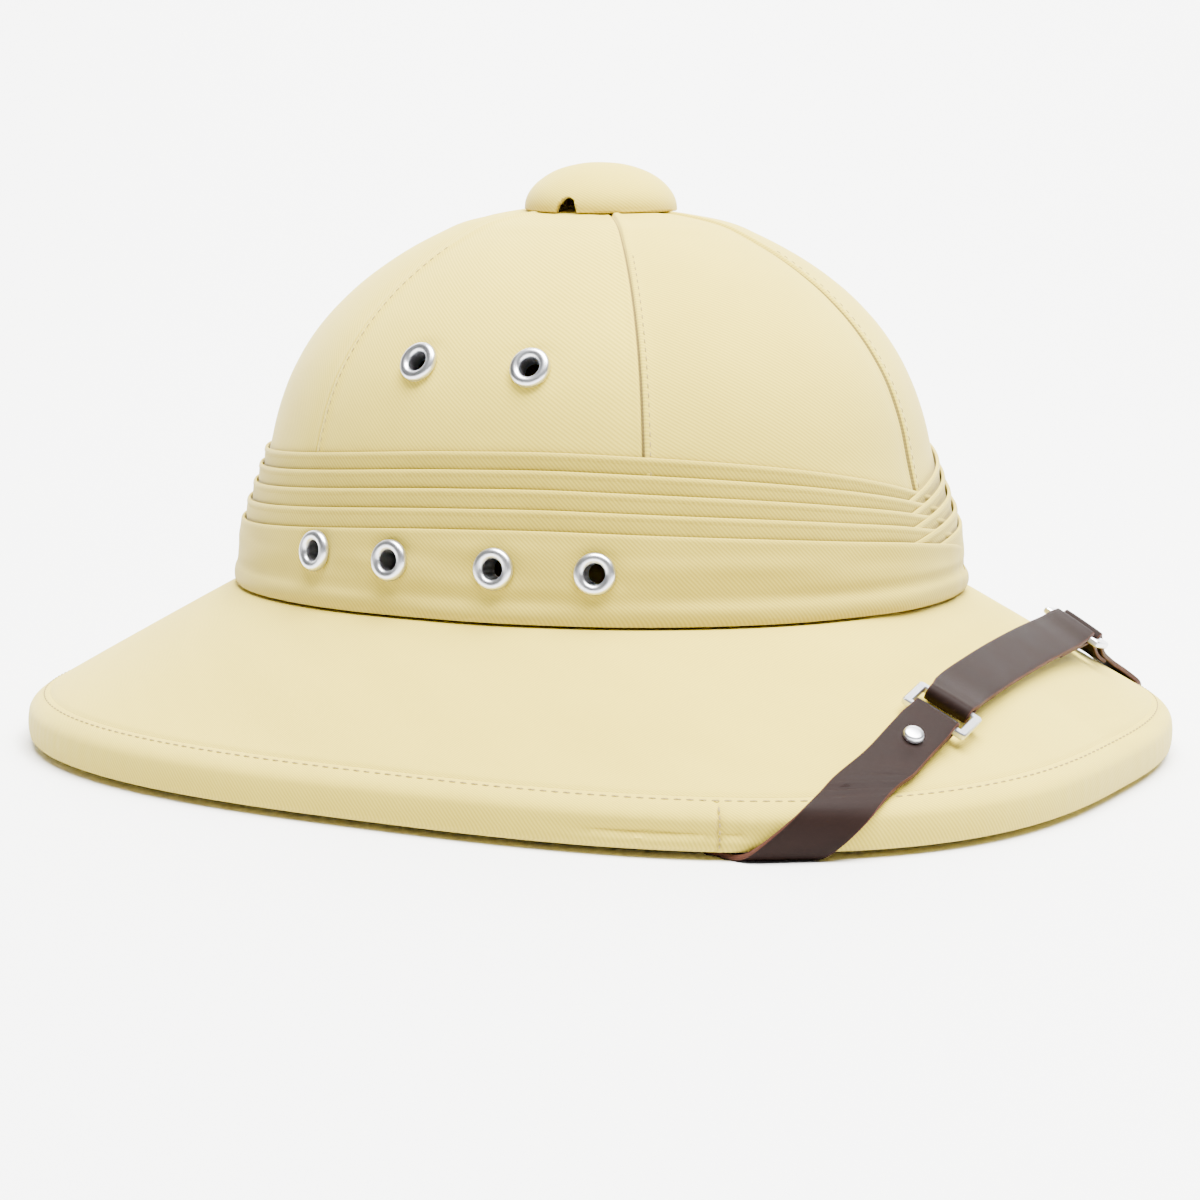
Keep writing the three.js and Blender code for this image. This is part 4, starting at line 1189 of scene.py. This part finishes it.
def makeSlide(side, slide):
    # flat-sided wire bent to a rectangle, wider along the strap's edges
    innerAcross = shape["strapWidth"] / 2 + shape["gap"]
    innerAlong = strap["slideLength"] / 2 - strap["slideBar"]
    outerAcross = innerAcross + strap["slideSide"]
    outerAlong = strap["slideLength"] / 2
    h, ease = strap["slideBar"] / 2, strap["slideEase"]
    grid = []
    for signA, signB, start in ((1, 1, 0), (-1, 1, 90), (-1, -1, 180), (1, -1, 270)):
        for turn in np.radians([start, start + 30, start + 60, start + 90]):
            away = np.array([math.cos(turn), math.sin(turn)])
            inner = np.array([signA * (innerAlong - .3), signB * (innerAcross - .3)]) + .3 * away
            outer = np.array([signA * (outerAlong - .9), signB * (outerAcross - .9)]) + .9 * away
            wide = np.linalg.norm(outer - inner)
            e = ease / wide
            section = [(e, h), (0, h - ease), (0, ease - h), (e, -h), (1 - e, -h), (1, ease - h),
                       (1, h - ease), (1 - e, h), (e, h)]
            grid.append([slide["middle"] + slide["along"] * flat[0] + slide["across"] * flat[1]
                         + slide["normal"] * f
                         for flat, f in ((inner + (outer - inner) * s, f) for s, f in section)])
    points = np.array(grid + grid[:1])
    piece = gridMesh(f"{side}-slide-nickel", [(points, clothCoords(points), 0)], [nickel], 25)
    stand(piece, f"slide_{side}")


stud = {"radius": 2.9, "height": 2.0, "shank": 1.2, "length": 3.2}
rivet = {"radius": 3.5, "height": 1.2, "shank": 1.4, "length": 4.4}


def makeStud(name, centre, normal, values):
    radius, height, shank, length = (values[k] for k in ("radius", "height", "shank", "length"))
    profile = [(0, -length), (shank, -length), (shank, 0), (radius - 0.3, 0), (radius, 0.3),
               (radius, 0.5 * height), (0.93 * radius, 0.8 * height), (0.78 * radius, 0.95 * height),
               (0.5 * radius, height), (0, 1.02 * height)]
    piece = latheMesh(f"{name}-nickel", profile, nickel, sides=36)
    lift = shape["strapThickness"] / 2 + 0.15
    placeAlong(piece, centre + normal * lift, normal)
    stand(piece, name)


def makeStrap():
    makeMiddleStrap()
    for side, route, sign in (("right", rightRoute, 1), ("left", leftRoute, -1)):
        makeSlide(side, slides[side])
        centre, normal = makeEndStrap(side, slides[side], route, sign)
        makeStud(f"stud_{side}", centre, normal, stud)
        angle = sign * strap["anchorAngle"]
        rise = riseAt(angle, strap["anchorHeight"])
        inwards = -surfaceNormals(crownSurface, angle, rise, 0.01)
        makeStud(f"rivet_{side}", crownPoints(angle, rise, -anchorDepth), inwards, rivet)


makeStrap()
print("strap made")


studio = {
    "floorColour": "#f6f6f5",
    "floorHalfWidth": 4000,
    "floorBack": 1100,
    "sweepRadius": 700,
    "wallHeight": 3000,
    "worldStrength": 0.16,
    "keyPower": 80,
    "topPower": 160,
    "wallPower": 230,
}
view = {
    "azimuth": -62.53,
    "elevation": 8.52,
    "roll": 0.61,
    "distance": 991.88,
    "aside": 0.96,
    "height": 43.46,
    "focalPixels": 3226.24,
    "imagePixels": 1200,
}


def towards(azimuth, elevation):
    # direction from the helmet to a place at these angles in degrees
    azimuth, elevation = math.radians(azimuth), math.radians(elevation)
    return Vector((math.sin(azimuth) * math.cos(elevation),
                   -math.cos(azimuth) * math.cos(elevation), math.sin(elevation)))


def cameraAxes():
    azimuth, roll = math.radians(view["azimuth"]), math.radians(view["roll"])
    back = towards(view["azimuth"], view["elevation"])
    right = Vector((math.cos(azimuth), math.sin(azimuth), 0))
    up = back.cross(right)
    turnedRight = right * math.cos(roll) + up * math.sin(roll)
    turnedUp = -right * math.sin(roll) + up * math.cos(roll)
    return right, turnedRight, turnedUp, back


def makeCamera():
    right, turnedRight, turnedUp, back = cameraAxes()
    target = right * view["aside"] + Vector((0, 0, view["height"]))
    place = (target + back * view["distance"]) / 1000
    data = bpy.data.cameras.new("camera")
    data.sensor_width = 36
    data.lens = 36 * view["focalPixels"] / view["imagePixels"]
    camera = bpy.data.objects.new("camera", data)
    rotation = Matrix((turnedRight, turnedUp, back)).transposed().to_4x4()
    camera.matrix_world = Matrix.Translation(place) @ rotation
    bpy.context.collection.objects.link(camera)
    bpy.context.scene.camera = camera


def makeFloor():
    # pale painted board, swept up behind
    material, tree, surface = newMaterial("pale matt paint")
    surface.inputs["Base Color"].default_value = linear(studio["floorColour"])
    surface.inputs["Roughness"].default_value = 0.7
    _, _, _, back = cameraAxes()
    away = unit(np.array([-back[0], -back[1], 0.0]))
    aside = np.array([away[1], -away[0], 0.0])
    bend = [(studio["floorBack"] + studio["sweepRadius"] * math.sin(a),
             studio["sweepRadius"] * (1 - math.cos(a))) for a in np.linspace(0, math.pi / 2, 24)]
    line = [(-2500, 0), (0, 0), *bend, (bend[-1][0], studio["wallHeight"])]
    rows = [[away * d + aside * w + [0, 0, h] for d, h in line]
            for w in (-studio["floorHalfWidth"], studio["floorHalfWidth"])]
    points = np.array(rows)
    floor = gridMesh("floor", [(points, clothCoords(points), 0)], [material])


def addArea(name, azimuth, elevation, distance, size, power):
    data = bpy.data.lights.new(name, "AREA")
    data.shape = "RECTANGLE"
    data.size, data.size_y = size
    data.energy = power
    light = bpy.data.objects.new(name, data)
    back = towards(azimuth, elevation)
    light.location = back * distance + Vector((0, 0, 0.08))
    light.rotation_euler = back.to_track_quat("Z", "Y").to_euler()
    bpy.context.collection.objects.link(light)
    return light


def makeLights():
    addArea("key", 0, 62, 1.7, (1.0, 0.9), studio["keyPower"])
    addArea("top", -50, 82, 1.6, (1.2, 1.2), studio["topPower"])
    wall = addArea("wall", 105, 40, 1.6, (3.0, 0.6), studio["wallPower"])
    _, _, _, back = cameraAxes()
    away = Vector((-back[0], -back[1], 0)).normalized()
    wall.location = away * 0.9 + Vector((0, 0, 1.9))
    wall.rotation_euler = Vector((-away[0], -away[1], 0.5)).to_track_quat("Z", "Y").to_euler()
    world = bpy.data.worlds.new("studio")
    world.use_nodes = True
    background = world.node_tree.nodes["Background"]
    background.inputs["Color"].default_value = (1, 1, 1, 1)
    background.inputs["Strength"].default_value = studio["worldStrength"]
    bpy.context.scene.world = world


makeCamera()
makeFloor()
makeLights()

print("scene finished")
